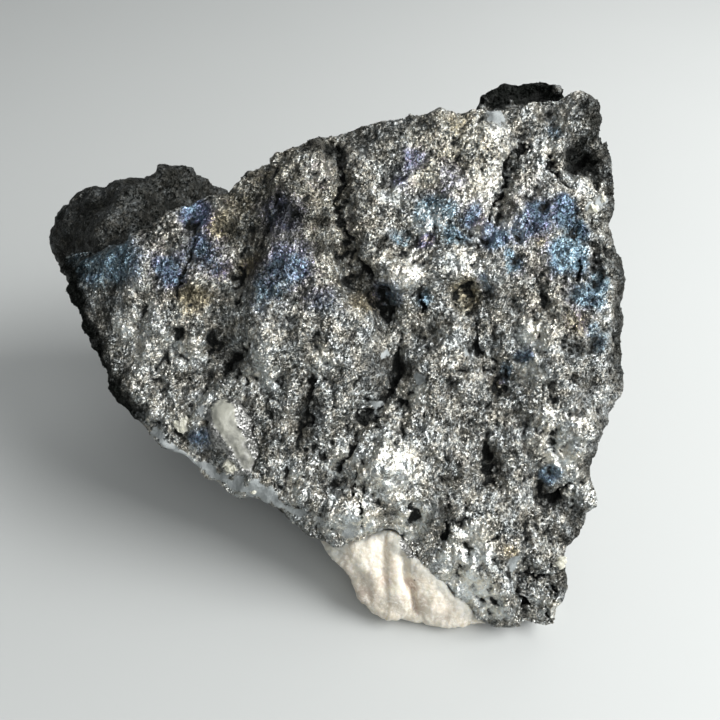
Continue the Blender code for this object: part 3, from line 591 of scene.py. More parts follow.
def left_end_fill(points, normals):
    """How far the hollow at the face's left end rises to a plain slope."""
    start, level, slope = LEFT_END
    wanted = level - slope * (start - points[:, 0])
    rim = 13.0 + 0.4 * (points[:, 0] + 38.6)
    share = smooth(-points[:, 0], -start - 1.0, -start + 1.5) * smooth(normals[:, 2], 0.0, 0.3)
    share *= smooth(rim - points[:, 1], -0.5, 1.0) * smooth(points[:, 1], -7.0, -4.0)
    return share * smooth(points[:, 2], -8.0, -7.0) * np.maximum(wanted - points[:, 2], 0.0)


def ragged(points, size, reach, seed):
    """The points pushed about a little, so that an edge drawn on them comes out broken."""
    push = [swell(points, size, seed + step) for step in range(2)]
    return points[:, :2] + reach * np.column_stack(push)


def carve(spots, paths):
    depth = np.zeros(len(spots))
    for path, half_width, deep in paths:
        depth = np.maximum(depth, deep * smooth(-path_distance(spots, path), -half_width, 0.0))
    return depth


def dig(spots, pits):
    depth = np.zeros(len(spots))
    for centre, half, deep in pits:
        offset = (spots - np.array(centre)) / np.array(half)
        turn = np.arctan2(offset[:, 1], offset[:, 0])
        reach = np.linalg.norm(offset, axis=1) * (1.0 + 0.25 * np.sin(3.0 * turn + centre[0]))
        depth += deep * smooth(-reach, -1.2, -0.1)
    return depth


def patches(spots, places):
    """How much each spot belongs to the soft round places, from 0 to 1."""
    share = np.zeros(len(spots))
    for centre, radius, strength in places:
        reach = np.linalg.norm(spots - np.array(centre), axis=1) / radius
        share = np.maximum(share, strength * smooth(-reach, -1.15, -0.25))
    return share


def tarnish(spots):
    """How strong the tarnish is at each spot, and how thick its film."""
    strongest = np.zeros(len(spots))
    weight = np.full(len(spots), 1e-6)
    total = np.full(len(spots), 0.5e-6)
    for centre, radius, strength, thickness in TARNISH:
        share = patches(spots, [(centre, radius * 1.2, strength)])
        strongest = np.maximum(strongest, share)
        weight += share**2
        total += share**2 * thickness
    return strongest, total / weight


def streaked(points, stretch):
    """The points with the streaks' direction pressed together, which draws noise out along it."""
    along = points[:, :2] @ np.array(STREAK) / stretch
    across = points[:, :2] @ np.array((STREAK[1], -STREAK[0]))
    return np.column_stack((across, along, points[:, 2]))


# Meshes


def new_object(name, mesh):
    obj = bpy.data.objects.new(name, mesh)
    bpy.context.scene.collection.objects.link(obj)
    return obj


def merged_copy(name, node):
    """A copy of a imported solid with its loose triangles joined."""
    shape = bmesh.new()
    shape.from_mesh(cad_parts[node].data)
    bmesh.ops.remove_doubles(shape, verts=shape.verts, dist=1e-6)
    mesh = bpy.data.meshes.new(name)
    shape.to_mesh(mesh)
    shape.free()
    mesh.materials.clear()
    return new_object(name, mesh)


def bake(obj):
    """Works the object's modifiers into its mesh."""
    graph = bpy.context.evaluated_depsgraph_get()
    graph.update()
    mesh = bpy.data.meshes.new_from_object(obj.evaluated_get(graph))
    obj.modifiers.clear()
    obj.data = mesh


def remesh(obj, voxel, rounds):
    """Even small squares over the whole shape, with its old facets softened."""
    modifier = obj.modifiers.new("remesh", "REMESH")
    modifier.mode = "VOXEL"
    modifier.voxel_size = voxel
    modifier.adaptivity = 0.0
    soften = obj.modifiers.new("soften", "SMOOTH")
    soften.factor = 0.5
    soften.iterations = rounds
    bake(obj)


def thin_out(obj, triangles, kept):
    """Fewer triangles; kept says for each vertex how much of the detail around it stays."""
    group = obj.vertex_groups.new(name="thin")
    levels = np.round((1.0 - kept) * 20.0).astype(int)
    for level in range(21):
        chosen = np.flatnonzero(levels == level)
        if len(chosen):
            group.add(chosen.tolist(), level / 20.0, "REPLACE")
    total = sum(len(face.vertices) - 2 for face in obj.data.polygons)
    modifier = obj.modifiers.new("thin", "DECIMATE")
    modifier.ratio = triangles / total
    modifier.use_collapse_triangulate = True
    modifier.vertex_group = "thin"
    modifier.vertex_group_factor = 1.0
    bake(obj)
    obj.vertex_groups.clear()


def read(obj, what):
    values = np.empty(len(obj.data.vertices) * 3)
    obj.data.vertices.foreach_get(what, values)
    return values.reshape(-1, 3)


def face_frame(obj):
    """Vertex positions in millimetres and normals, both in the face's frame."""
    turn = np.array(FACE_TO_WORLD.to_3x3())
    return (read(obj, "co") / MM - FACE_ORIGIN) @ turn, read(obj, "normal") @ turn


def set_face_frame(obj, points):
    turn = np.array(FACE_TO_WORLD.to_3x3())
    placed = (points @ turn.T + FACE_ORIGIN) * MM
    placed[:, 2] = np.maximum(placed[:, 2], 0.0)
    obj.data.vertices.foreach_set("co", placed.ravel())
    obj.data.update()


def evened(obj, values, rounds):
    """The values spread over the mesh's edges, as heat would spread."""
    ends = np.empty(len(obj.data.edges) * 2, dtype=np.int64)
    obj.data.edges.foreach_get("vertices", ends)
    first, second = ends[0::2], ends[1::2]
    count = len(values)
    links = np.bincount(ends, minlength=count)
    for _ in range(rounds):
        around = np.bincount(first, values[second], count) + np.bincount(second, values[first], count)
        values = 0.5 * values + 0.5 * around / np.maximum(links, 1)
    return values


def store(obj, name, values):
    layer = obj.data.attributes.new(name, "FLOAT", "POINT")
    layer.data.foreach_set("value", np.ascontiguousarray(values, dtype=np.float32))


def shade_smooth(obj, smooth_faces):
    obj.data.polygons.foreach_set("use_smooth", np.broadcast_to(smooth_faces, len(obj.data.polygons)))


def faces_above(obj, name, level):
    """Which triangles have a first corner whose stored number is above the level."""
    values = np.empty(len(obj.data.vertices))
    obj.data.attributes[name].data.foreach_get("value", values)
    corners = np.empty(len(obj.data.loops), dtype=np.int64)
    obj.data.loops.foreach_get("vertex_index", corners)
    starts = np.empty(len(obj.data.polygons), dtype=np.int64)
    obj.data.polygons.foreach_get("loop_start", starts)
    return values[corners[starts]] > level


# Materials


class Value:
    """A number that varies over a surface, worked out by the nodes behind it."""

    def __init__(self, finish, socket):
        self.finish = finish
        self.socket = socket

    def math(self, operation, *values):
        return self.finish.value("ShaderNodeMath", {"operation": operation}, dict(enumerate(values)))

    def __add__(self, other):
        return self.math("ADD", self, other)

    def __sub__(self, other):
        return self.math("SUBTRACT", self, other)

    def __rsub__(self, other):
        return self.math("SUBTRACT", other, self)

    def __mul__(self, other):
        return self.math("MULTIPLY", self, other)

    def __pow__(self, other):
        return self.math("POWER", self, other)

    __radd__ = __add__
    __rmul__ = __mul__

    def between(self, low, high):
        """0 below low, 1 above high, and a smooth change between them."""
        settings = {"interpolation_type": "SMOOTHSTEP"}
        return self.finish.value(
            "ShaderNodeMapRange", settings, {"Value": self, "From Min": low, "From Max": high}
        )


class Finish:
    """A material and the nodes that its look is made of."""

    def __init__(self, name, roughness=0.5):
        self.material = bpy.data.materials.new(name)
        self.material.use_nodes = True
        self.tree = self.material.node_tree
        self.shader = self.tree.nodes["Principled BSDF"]
        self.shader.inputs["Roughness"].default_value = roughness
        self.place = self.node("ShaderNodeTexCoord").outputs["Object"]

    def node(self, kind, settings=None, sockets=None):
        node = self.tree.nodes.new(kind)
        for name, setting in (settings or {}).items():
            setattr(node, name, setting)
        for name, value in (sockets or {}).items():
            self.feed(node.inputs[name], value)
        return node

    def feed(self, socket, value):
        if isinstance(value, Value):
            value = value.socket
        if isinstance(value, bpy.types.NodeSocket):
            self.tree.links.new(value, socket)
        else:
            socket.default_value = value

    def value(self, kind, settings, sockets, output=0):
        return Value(self, self.node(kind, settings, sockets).outputs[output])

    def layer(self, name):
        """A number stored on the mesh."""
        return self.value("ShaderNodeAttribute", {"attribute_name": name}, {}, "Fac")

    def noise(self, size, detail=3.0, roughness=0.55, distortion=0.0, place=None):
        sockets = {
            "Vector": place or self.place,
            "Scale": 1.0 / size,
            "Detail": detail,
            "Roughness": roughness,
            "Distortion": distortion,
        }
        return self.value("ShaderNodeTexNoise", {}, sockets)

    def cells(self, size, place=None):
        """Random colour and number of the small cells that split up the surface."""
        node = self.node(
            "ShaderNodeTexVoronoi", {}, {"Vector": place or self.place, "Scale": 1.0 / size}
        )
        split = self.node("ShaderNodeSeparateColor", {}, {"Color": node.outputs["Color"]})
        return node.outputs["Color"], [Value(self, part) for part in split.outputs]

    def mix(self, share, low, high):
        """From one colour to another."""
        node = self.node("ShaderNodeMix", {"data_type": "RGBA"}, {0: share})
        self.feed(node.inputs[6], low)
        self.feed(node.inputs[7], high)
        return node.outputs[2]

    def ramp(self, value, stops):
        """A colour that follows the value through the stops, each a position and a colour."""
        node = self.node("ShaderNodeValToRGB", {}, {"Fac": value})
        points = node.color_ramp.elements
        for index, (position, colour) in enumerate(stops):
            point = points[index] if index < 1 else points.new(position)
            point.position = position
            point.color = rgba(colour)
        points.remove(points[-1])
        return node.outputs["Color"]

    def scaled(self, colour, factor):
        return self.vector("SCALE", colour, factor)

    def vector(self, operation, first, second):
        sockets = {0: first, "Scale" if operation == "SCALE" else 1: second}
        return self.node("ShaderNodeVectorMath", {"operation": operation}, sockets).outputs[0]

    def tilted(self, cell_layers):
        """The surface's direction, tipped a little differently in each cell."""
        normal = self.node("ShaderNodeNewGeometry").outputs["Normal"]
        for colour, strength in cell_layers:
            centred = self.vector("SUBTRACT", colour, (0.5, 0.5, 0.5))
            tip = self.vector("SCALE", centred, strength)
            normal = self.vector("ADD", normal, tip)
        return self.node(
            "ShaderNodeVectorMath", {"operation": "NORMALIZE"}, {0: normal}
        ).outputs[0]

    def bumped(self, height, distance, normal=None):
        sockets = {"Strength": 1.0, "Distance": distance, "Height": height}
        if normal is not None:
            sockets["Normal"] = normal
        return self.node("ShaderNodeBump", {}, sockets).outputs[0]

    def set(self, **sockets):
        for name, value in sockets.items():
            self.feed(self.shader.inputs[name.replace("_", " ")], value)


def rgba(colour):
    return (*colour, 1.0)


def drawn_out(finish, stretch):
    """Object coordinates turned into the streaks' direction and pressed together along it."""
    angle = math.atan2(STREAK[0], STREAK[1])
    level = finish.node(
        "ShaderNodeVectorRotate",
        {"rotation_type": "X_AXIS"},
        {"Vector": finish.place, "Angle": -LEAN},
    ).outputs[0]
    turned = finish.node(
        "ShaderNodeVectorRotate", {"rotation_type": "Z_AXIS"}, {"Vector": level, "Angle": angle}
    ).outputs[0]
    return finish.vector("MULTIPLY", turned, (1.0, 1.0 / stretch, 1.0))


def ore_finish(name, ore):
    """Broken metallic grains, each catching the light its own way, under films of tarnish, with a dark film,
    painted shade and painted highlights.
    """
    finish = Finish(name)
    streaks = drawn_out(finish, 1.35)
    coarse, coarse_tone = finish.cells(0.55 * MM, streaks)
    grains, grain_tone = finish.cells(0.24 * MM, streaks)
    flecks, fleck_tone = finish.cells(0.11 * MM)
    soot_and_shade = finish.layer("soot_and_shade")
    painted_highlight = finish.layer("painted_highlight")
    hollow = finish.layer("hollow")
    stain = finish.noise(2.2 * MM, 4.0, 0.65)
    rubble = finish.noise(1.1 * MM, 9.0, 0.72, place=streaks)
    sugar = finish.noise(0.42 * MM, 5.0, 0.75, place=streaks)

    gangue = finish.layer("gangue") * 1.2 + (rubble - 0.5) * 0.9 + (fleck_tone[2] - 0.5) * 0.5
    gangue = (gangue - 0.35).between(0.0, 0.5)
    tone = grain_tone[0] * 0.35 + fleck_tone[1] * 0.45 + rubble * 0.9 + sugar * 0.4
    patch = finish.noise(3.5 * MM, 3.0, 0.6)
    # How clean the metal is, from random tone, lifted also by the painted highlights
    clean = (tone + painted_highlight * 0.3 + (patch - 0.5) * 0.9 - 0.65).between(0.0, 0.8)
    warmth = (grain_tone[1] * 0.5 + stain * 2.2 - 0.85).between(0.0, 1.0)
    warm = finish.mix(warmth, rgba(ore.cool), rgba(ore.warm))
    colour = finish.vector("MULTIPLY", finish.mix(clean, rgba(ore.dull), rgba(ore.steel)), warm)
    # Painted highlight: the colour made brighter where facets catch the light
    colour = finish.scaled(colour, painted_highlight * 0.3 + 0.95)
    thickness = finish.layer("film_thickness") + (stain - 0.5) * 0.4 + (rubble - 0.5) * 0.4
    thickness = thickness + (grain_tone[1] - 0.5) * 0.2 + (fleck_tone[2] - 0.5) * 0.15
    films = (ore.bronze, ore.bronze, ore.violet, ore.blue, ore.teal, ore.straw)
    stops = zip((0.0, 0.2, 0.36, 0.55, 0.8, 1.0), films)
    film = finish.ramp(thickness, stops)
    # The film in a dark and a bright copy, picked by how clean the metal is, which is partly random tone and
    # partly painted light and shade
    film = finish.mix(clean, finish.scaled(film, 0.3), finish.scaled(film, 1.05))
    broken = fleck_tone[0] * 0.25 + grain_tone[2] * 0.25 + (rubble - 0.5) * 0.9
    share = (finish.layer("film") * 1.15 + broken - 0.55).between(0.0, 0.8)
    colour = finish.mix(share * 0.88, colour, film)
    # Dark film and painted shade: the stored dark places, with noise, turn the colour to near black
    dark = (soot_and_shade * 1.1 + stain * 0.3 + (rubble - 0.5) * 0.5 - 0.3).between(0.0, 0.75)
    # Painted shade in crevices: the stored hollows and dark crumbs of noise turn the colour near black
    crumbs = sugar * 0.7 + fleck_tone[0] * 0.25 - rubble * 0.6
    deep = (hollow + crumbs - 0.12).between(0.05, 0.72)
    colour = finish.mix(dark, colour, rgba(ore.soot_and_shade))
    colour = finish.mix(deep, colour, rgba(ore.soot_and_shade))
    pale = finish.mix(stain, rgba([part * 0.5 for part in ore.gangue]), rgba(ore.gangue))
    colour = finish.mix(gangue, colour, pale)

    roughness = 0.26 + grain_tone[1] * 0.22 + dark * 0.2 + deep * 0.2
    calm = 1.05 - painted_highlight * 0.5 - gangue * 0.75
    steepness = [(coarse, calm * 0.5), (grains, calm * 0.65), (flecks, calm * 1.05)]
    finish.set(
        Base_Color=colour,
        Metallic=1.0 - gangue - deep * 0.3,
        Roughness=roughness,
        Normal=finish.bumped(rubble + sugar * 0.3, 0.07 * MM, finish.tilted(steepness)),
    )
    return finish.material


def grain_cover(finish, ore, speck):
    """Metallic grains grown over a rim: how much they cover, their colour and their tilt."""
    grains, grain_tone = finish.cells(0.24 * MM)
    flecks, fleck_tone = finish.cells(0.12 * MM)
    cover = (finish.layer("rim") * 1.3 + speck * 0.4 + grain_tone[2] * 0.4 - 0.65)
    cover = cover.between(0.0, 0.5)
    clean = grain_tone[0] * 0.5 + fleck_tone[1] * 0.5
    metal = finish.mix(clean, rgba(ore.dull), rgba(ore.steel))
    return cover, metal, finish.tilted([(grains, cover * 0.7), (flecks, cover * 0.6)])


def calcite_finish(calcite, ore):
    """Smooth, ribbed, faintly see-through mineral, creamy on its ribs and grey at its edge, and painted
    brighter at its bottom edge as light shining through.
    """
    finish = Finish("calcite", 0.38)
    cloud = finish.noise(1.6 * MM, 4.0, 0.6)
    silk = finish.noise(0.35 * MM, 3.0, 0.6, 0.4)
    facet, facet_tone = finish.cells(0.9 * MM)
    mottle = finish.noise(0.45 * MM, 2.0, 0.7)
    colour = finish.mix(cloud.between(0.3, 0.7) * 0.5, rgba(calcite.body), rgba(calcite.cream))
    colour = finish.mix(finish.layer("cream") * (0.5 + mottle), colour, rgba(calcite.cream))
    colour = finish.mix(finish.layer("pink") * (0.5 + cloud * 0.8), colour, rgba(calcite.pink))
    veins = finish.noise(0.7 * MM, 6.0, 0.7, 1.2).between(0.48, 0.62)
    colour = finish.mix(veins * 0.6, colour, rgba(calcite.white))
    grey = (finish.layer("grey") * 1.2 + cloud * 0.6 + mottle * 0.6 - 0.75).between(0.0, 1.2)
    colour = finish.mix(grey, colour, rgba(calcite.grey))
    colour = finish.mix(finish.layer("speck"), colour, rgba((0.02, 0.018, 0.015)))
    cover, metal, tips = grain_cover(finish, ore, mottle)
    finish.set(
        Base_Color=finish.mix(cover, colour, metal),
        Metallic=cover,
        Roughness=0.3 + silk * 0.35,
        Normal=finish.bumped(silk * 0.5 + mottle * 0.6 + facet_tone[0] * 0.4, 0.12 * MM, tips),
    )
    finish.shader.subsurface_method = "RANDOM_WALK"
    finish.set(
        Subsurface_Weight=0.6,
        Subsurface_Radius=(1.0, 0.85, 0.6),
        Subsurface_Scale=1.2 * MM,
        IOR=1.55,
    )
    return finish.material


def quartz_finish(name, milk, clear, ore):
    """Milky, glassy mineral with clearer grey parts and metallic grains grown over its rim."""
    finish = Finish(name, 0.3)
    cloud = finish.noise(1.1 * MM, 4.0, 0.6)
    speck = finish.noise(0.3 * MM, 3.0, 0.6)
    share = (cloud + finish.layer("milky") * 0.5 + speck * 0.25 - 0.4).between(0.0, 0.6)
    cover, metal, tips = grain_cover(finish, ore, speck)
    finish.set(
        Base_Color=finish.mix(cover, finish.mix(share, rgba(clear), rgba(milk)), metal),
        Metallic=cover,
        Roughness=0.3 + speck * 0.2,
        Normal=finish.bumped(speck + cloud * 0.5, 0.05 * MM, tips),
    )
    finish.shader.subsurface_method = "RANDOM_WALK"
    finish.set(
        Subsurface_Weight=0.4,
        Subsurface_Radius=(1.0, 1.0, 0.9),
        Subsurface_Scale=0.8 * MM,
        IOR=1.54,
    )
    return finish.material


# Grains of crystal, scattered over the ore by geometry nodes


def grain_tree(material, block):
    """Scatters crystal blocks or tips over a surface, sunk in a little and turned every way."""
    tree = bpy.data.node_groups.new("Crystal grains", "GeometryNodeTree")
    for name, kind, way in (
        ("Geometry", "NodeSocketGeometry", "INPUT"),
        ("Density", "NodeSocketFloat", "INPUT"),
        ("Smallest", "NodeSocketFloat", "INPUT"),
        ("Largest", "NodeSocketFloat", "INPUT"),
        ("Sink", "NodeSocketFloat", "INPUT"),
        ("Seed", "NodeSocketInt", "INPUT"),
        ("Geometry", "NodeSocketGeometry", "OUTPUT"),
    ):
        tree.interface.new_socket(name, in_out=way, socket_type=kind)
    link = tree.links.new

    def node(kind, settings=None, sockets=None):
        made = tree.nodes.new(kind)
        for name, setting in (settings or {}).items():
            setattr(made, name, setting)
        for name, value in (sockets or {}).items():
            if isinstance(value, bpy.types.NodeSocket):
                link(value, made.inputs[name])
            else:
                made.inputs[name].default_value = value
        return made

    inputs = node("NodeGroupInput").outputs
    share = node(
        "GeometryNodeInputNamedAttribute", {"data_type": "FLOAT"}, {"Name": "grain_share"}
    )
    density = node(
        "ShaderNodeMath",
        {"operation": "MULTIPLY"},
        {0: inputs["Density"], 1: share.outputs["Attribute"]},
    )
    spread = node(
        "GeometryNodeDistributePointsOnFaces",
        {"distribute_method": "RANDOM"},
        {"Mesh": inputs["Geometry"], "Density": density.outputs[0], "Seed": inputs["Seed"]},
    )
    back = node("ShaderNodeMath", {"operation": "MULTIPLY"}, {0: inputs["Sink"], 1: -1.0})
    inward = node(
        "ShaderNodeVectorMath",
        {"operation": "SCALE"},
        {0: spread.outputs["Normal"], "Scale": back.outputs[0]},
    )
    sunk = node(
        "GeometryNodeSetPosition",
        {},
        {"Geometry": spread.outputs["Points"], "Offset": inward.outputs[0]},
    )
    if block:
        shape = node("GeometryNodeMeshCube", {}, {"Size": (1.0, 0.86, 0.74)})
    else:
        shape = node(
            "GeometryNodeMeshCone",
            {},
            {"Vertices": 4, "Radius Top": 0.0, "Radius Bottom": 0.62, "Depth": 0.85},
        )
    turn = node(
        "FunctionNodeRandomValue",
        {"data_type": "FLOAT_VECTOR"},
        {"Max": (math.tau, math.tau, math.tau), "Seed": inputs["Seed"]},
    )
    sizes = [
        node("ShaderNodeCombineXYZ", {}, {0: size, 1: size, 2: size}).outputs[0]
        for size in (inputs["Smallest"], inputs["Largest"])
    ]
    scale = node(
        "FunctionNodeRandomValue",
        {"data_type": "FLOAT_VECTOR"},
        {"Min": sizes[0], "Max": sizes[1], "Seed": inputs["Seed"]},
    )
    placed = node(
        "GeometryNodeInstanceOnPoints",
        {},
        {
            "Points": sunk.outputs[0],
            "Instance": shape.outputs["Mesh"],
            "Rotation": turn.outputs[0],
            "Scale": scale.outputs[0],
        },
    )
    real = node("GeometryNodeRealizeInstances", {}, {"Geometry": placed.outputs[0]})
    flat = node("GeometryNodeSetShadeSmooth", {}, {"Geometry": real.outputs[0], "Shade Smooth": False})
    dressed = node(
        "GeometryNodeSetMaterial", {}, {"Geometry": flat.outputs[0], "Material": material}
    )
    link(dressed.outputs[0], node("NodeGroupOutput").inputs[0])
    return tree


def scatter(name, ground, tree, values):
    """The tree's result over the ground as a plain mesh."""
    piece = new_object(name, ground.data.copy())
    modifier = piece.modifiers.new("grains", "NODES")
    modifier.node_group = tree
    for item in tree.interface.items_tree:
        if item.in_out == "INPUT" and item.name in values:
            modifier[item.identifier] = values[item.name]
    bake(piece)
    return piece


# The pieces


def dress(piece, slot, *nodes):
    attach(piece, "root")
    if nodes:
        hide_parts(*nodes)


class SPECIMEN_OT_ore(bpy.types.Operator):
    """Build the ore: broken facets, streaks, cracks and pits, with its films of tarnish"""

    bl_idname = "specimen.ore"
    bl_label = "Ore"

    def execute(self, context):
        ore = context.scene.specimen_ore
        piece = merged_copy("ore_mass", "skutterudite")
        remesh(piece, ore.voxel, 6)
        points, normals = face_frame(piece)
        shape_ore(piece, points, normals, ore)
        points, normals = face_frame(piece)
        front = smooth(normals[:, 2], 0.1, 0.5) * smooth(points[:, 2], -9.0, -4.0)
        thin_out(piece, ore.triangles, 0.25 + 0.7 * np.maximum(front, 0.4 * (points[:, 1] > 12.0)))
        paint_ore(piece)
        shade_smooth(piece, faces_above(piece, "gangue", 0.5))
        piece.data.materials.append(ore_finish("ore", ore))
        dress(piece, "ore", "skutterudite")
        return {"FINISHED"}


def shape_ore(obj, points, normals, ore):
    shard = ore.shard / MM
    relief = ore.relief / MM
    front = smooth(normals[:, 2], 0.2, 0.65) * smooth(points[:, 2], -8.0, -4.0)
    world_down = read(obj, "normal")[:, 2] < -0.98
    resting = world_down & (read(obj, "co")[:, 2] < 0.3 * MM)
    drawn = streaked(points, 1.3)
    calm = 1.0 - front * patches(points[:, :2], CALM)
    silk = patches(points[:, :2], SILK)
    height = relief * 1.3 * crystals(points, shard * 2.4, 8)
    height += relief * (0.5 + 0.8 * calm) * crystals(drawn, shard, 11)
    height += relief * (0.15 + 0.5 * calm) * crystals(drawn, shard * 0.48, 14)
    height += relief * (0.15 + 0.2 * calm) * crystals(drawn, shard * 0.22, 17)
    height += relief * 0.15 * crystals(drawn, shard * 0.12, 20)
    floor = np.percentile(height, 14)
    height = np.where(height < floor, floor + 0.35 * (height - floor), height)
    grooves = 1.0 - np.abs(swell(streaked(points, 8.0), 0.8, 23))
    fine = 1.0 - np.abs(swell(streaked(points, 6.0), 0.4, 24))
    height += relief * (0.05 + 0.6 * silk) * (0.6 * (grooves - 0.75) + 0.3 * (fine - 0.75))
    spots = ragged(points, 2.4, 0.9, 31) + ragged(points, 0.8, 0.45, 33) - points[:, :2]
    spots += ragged(points, 0.35, 0.25, 35) - points[:, :2]
    height -= front * (carve(spots, CRACKS) + dig(spots, PITS))
    height += front * terrace(spots, LEDGES)
    height *= 1.0 - 0.5 * front * gangue_share(points[:, :2])
    turned_away = 1.0 - smooth(normals[:, 2], 0.0, 0.45)
    height *= 1.0 - 0.6 * np.maximum(turned_away, smooth(-points[:, 2], 5.0, 9.0))
    height *= 1.0 - 0.8 * smooth(-normals[:, 2], -0.7, -0.3) * smooth(-points[:, 0], 28.0, 33.0)
    behind = smooth(-points[:, 2], 7.0, 10.0)
    height += relief * behind * (0.8 * crystals(points, 2.2, 26) + 0.4 * crystals(points, 0.9, 27))
    lift = smooth(read(obj, "co")[:, 2] / MM, 0.2, 2.2)
    lift[resting] = 0.0
    moved = points + normals * (height * lift)[:, None]
    seam = 0.8 * front * smooth(-path_distance(points[:, :2], CALCITE_EDGE), -1.8, -0.4)
    growth = np.maximum(outgrowth(points, SWELLINGS), seam)
    outward = normals * (1.0, 1.0, 0.15) * (growth * lift)[:, None]
    outward[:, 2] += evened(obj, left_end_fill(points, normals), 14)
    set_face_frame(obj, moved + outward)


def gangue_share(spots):
    strip = smooth(-path_distance(spots, GANGUE_STRIP), -GANGUE_STRIP_WIDTH, -0.4)
    return np.maximum(patches(spots, GANGUE), 0.8 * strip)


def paint_ore(obj):
    """Stores where the films, the dark film mixed with painted shade, the painted highlights and the gangue
    lie.
    """
    points, normals = face_frame(obj)
    front = smooth(points[:, 2], -9.0, -6.0)
    near = ragged(points, 1.4, 0.9, 41)
    wide = ragged(points, 3.0, 1.2, 45)
    film, thickness = tarnish(wide)
    store(obj, "film", front * film)
    store(obj, "film_thickness", thickness)
    painted_highlight = front * patches(near, PAINTED_HIGHLIGHTS)
    gangue = front * gangue_share(near)
    store(obj, "gangue", smooth(gangue, 0.3, 0.7))
    # Painted shade on the knob at the top right and on the rear ridge, which face away from the light, and the
    # colour darker towards the back
    knob_shade = smooth(points[:, 2], -3.5, -6.5) * smooth(points[:, 1], 29.0, 32.0)
    knob_shade *= smooth(points[:, 0], 12.0, 16.0)
    ridge_shade = smooth(-points[:, 2], 4.0, 7.0) * smooth(points[:, 1], 4.0, 10.0)
    ridge_shade *= smooth(-points[:, 0], 9.0, 13.0)
    rear = np.maximum(0.4 * smooth(-points[:, 2], 6.0, 12.0), 0.66 * ridge_shade)
    # Dark film and painted shade from the listed dark places and the shaded edges
    edges = front * patches(near, SOOT_AND_SHADE)
    for path, width, strength in PAINTED_EDGE_SHADE:
        edges = np.maximum(edges, strength * smooth(-path_distance(near, path), -width, -0.3))
    soot_and_shade = np.maximum.reduce([edges, 1.3 * knob_shade, rear])
    store(obj, "soot_and_shade", np.clip(soot_and_shade - 0.4 * painted_highlight, 0.0, 1.3))
    store(obj, "painted_highlight", painted_highlight)
    # How far each vertex lies in a hollow, stored for the painted shade that the ore's material puts there
    rise = np.zeros(len(points))
    for rounds, share in ((6, 0.35), (40, 1.0)):
        for axis in range(3):
            gap = evened(obj, points[:, axis], rounds) - points[:, axis]
            rise += share * gap * normals[:, axis]
    seam = smooth(-path_distance(points[:, :2], CALCITE_EDGE), -2.0, -0.8)
    store(obj, "hollow", (1.0 - seam) * (0.3 + 0.7 * front) * smooth(rise, 0.03, 0.5))
    flat_spot = read(obj, "co")[:, 2] < 0.6 * MM
    grains = 0.25 + 0.75 * front * smooth(normals[:, 2], -0.2, 0.3)
    grains *= 1.0 - smooth(gangue, 0.3, 0.6)
    store(obj, "grain_share", np.where(flat_spot, 0.0, grains))


class SPECIMEN_OT_grains(bpy.types.Operator):
    """Scatter crystal tips and blocks over the ore"""

    bl_idname = "specimen.grains"
    bl_label = "Crystal grains"

    def execute(self, context):
        grains = context.scene.specimen_grains
        ground = bpy.data.objects["ore_mass"]
        material = ground.data.materials[0]
        shares = np.empty(len(ground.data.vertices))
        ground.data.attributes["grain_share"].data.foreach_get("value", shares)
        area = sum(face.area * shares[face.vertices[0]] for face in ground.data.polygons)
        kinds = (("grain_tips", grains.tips, False), ("grain_blocks", grains.blocks, True))
        for step, (name, count, block) in enumerate(kinds):
            values = {
                "Density": count / area,
                "Smallest": grains.smallest,
                "Largest": grains.largest,
                "Sink": grains.sink,
                "Seed": grains.seed + step,
            }
            piece = scatter(name, ground, grain_tree(material, block), values)
            dress(piece, "ore")
        return {"FINISHED"}


class SPECIMEN_OT_calcite(bpy.types.Operator):
    """Build the ribbed calcite under the lower front edge"""

    bl_idname = "specimen.calcite"
    bl_label = "Calcite"

    def execute(self, context):
        calcite = context.scene.specimen_calcite
        piece = merged_copy("calcite_mass", "calcite")
        remesh(piece, calcite.voxel, 8)
        points, normals = face_frame(piece)
        thin_end = smooth(-points[:, 0], -17.0, -14.0)
        height = calcite.grow / MM + 0.1 * swell(points, 1.6, 61)
        ribs = np.column_stack((points[:, 0], points[:, 1] / 3.0, points[:, 2] / 2.0))
        height += 0.1 * swell(ribs, 1.9, 62) + 0.3 * crystals(ribs, 1.6, 63)
        height += 0.14 * crystals(points, 0.7, 65) + 0.06 * crystals(points, 0.35, 66)
        spots = ragged(points, 1.8, 0.35, 64)
        for path, half_width, deep in CALCITE_FURROWS:
            near = np.clip(1.0 - path_distance(spots, path) / half_width, 0.0, 1.0)
            height -= deep * near**1.6 * smooth(normals[:, 2], 0.0, 0.5)
        set_face_frame(piece, points + normals * (height * thin_end)[:, None])
        fade = 0.9 * smooth(-path_distance(spots, CALCITE_EDGE), -2.4, -0.3)
        store(piece, "grey", np.maximum(patches(spots, CALCITE_GREY), fade))
        store(piece, "cream", patches(spots, CALCITE_CREAM))
        store(piece, "pink", patches(spots, CALCITE_PINK))
        store(piece, "speck", patches(points[:, :2], [CALCITE_SPECK]))
        rim = smooth(-path_distance(spots, CALCITE_EDGE), -0.7, -0.1)
        store(piece, "rim", rim * smooth(normals[:, 2], -0.2, 0.3))
        shade_smooth(piece, True)
        ore = context.scene.specimen_ore
        piece.data.materials.append(calcite_finish(calcite, ore))
        dress(piece, "calcite", "calcite")
        return {"FINISHED"}


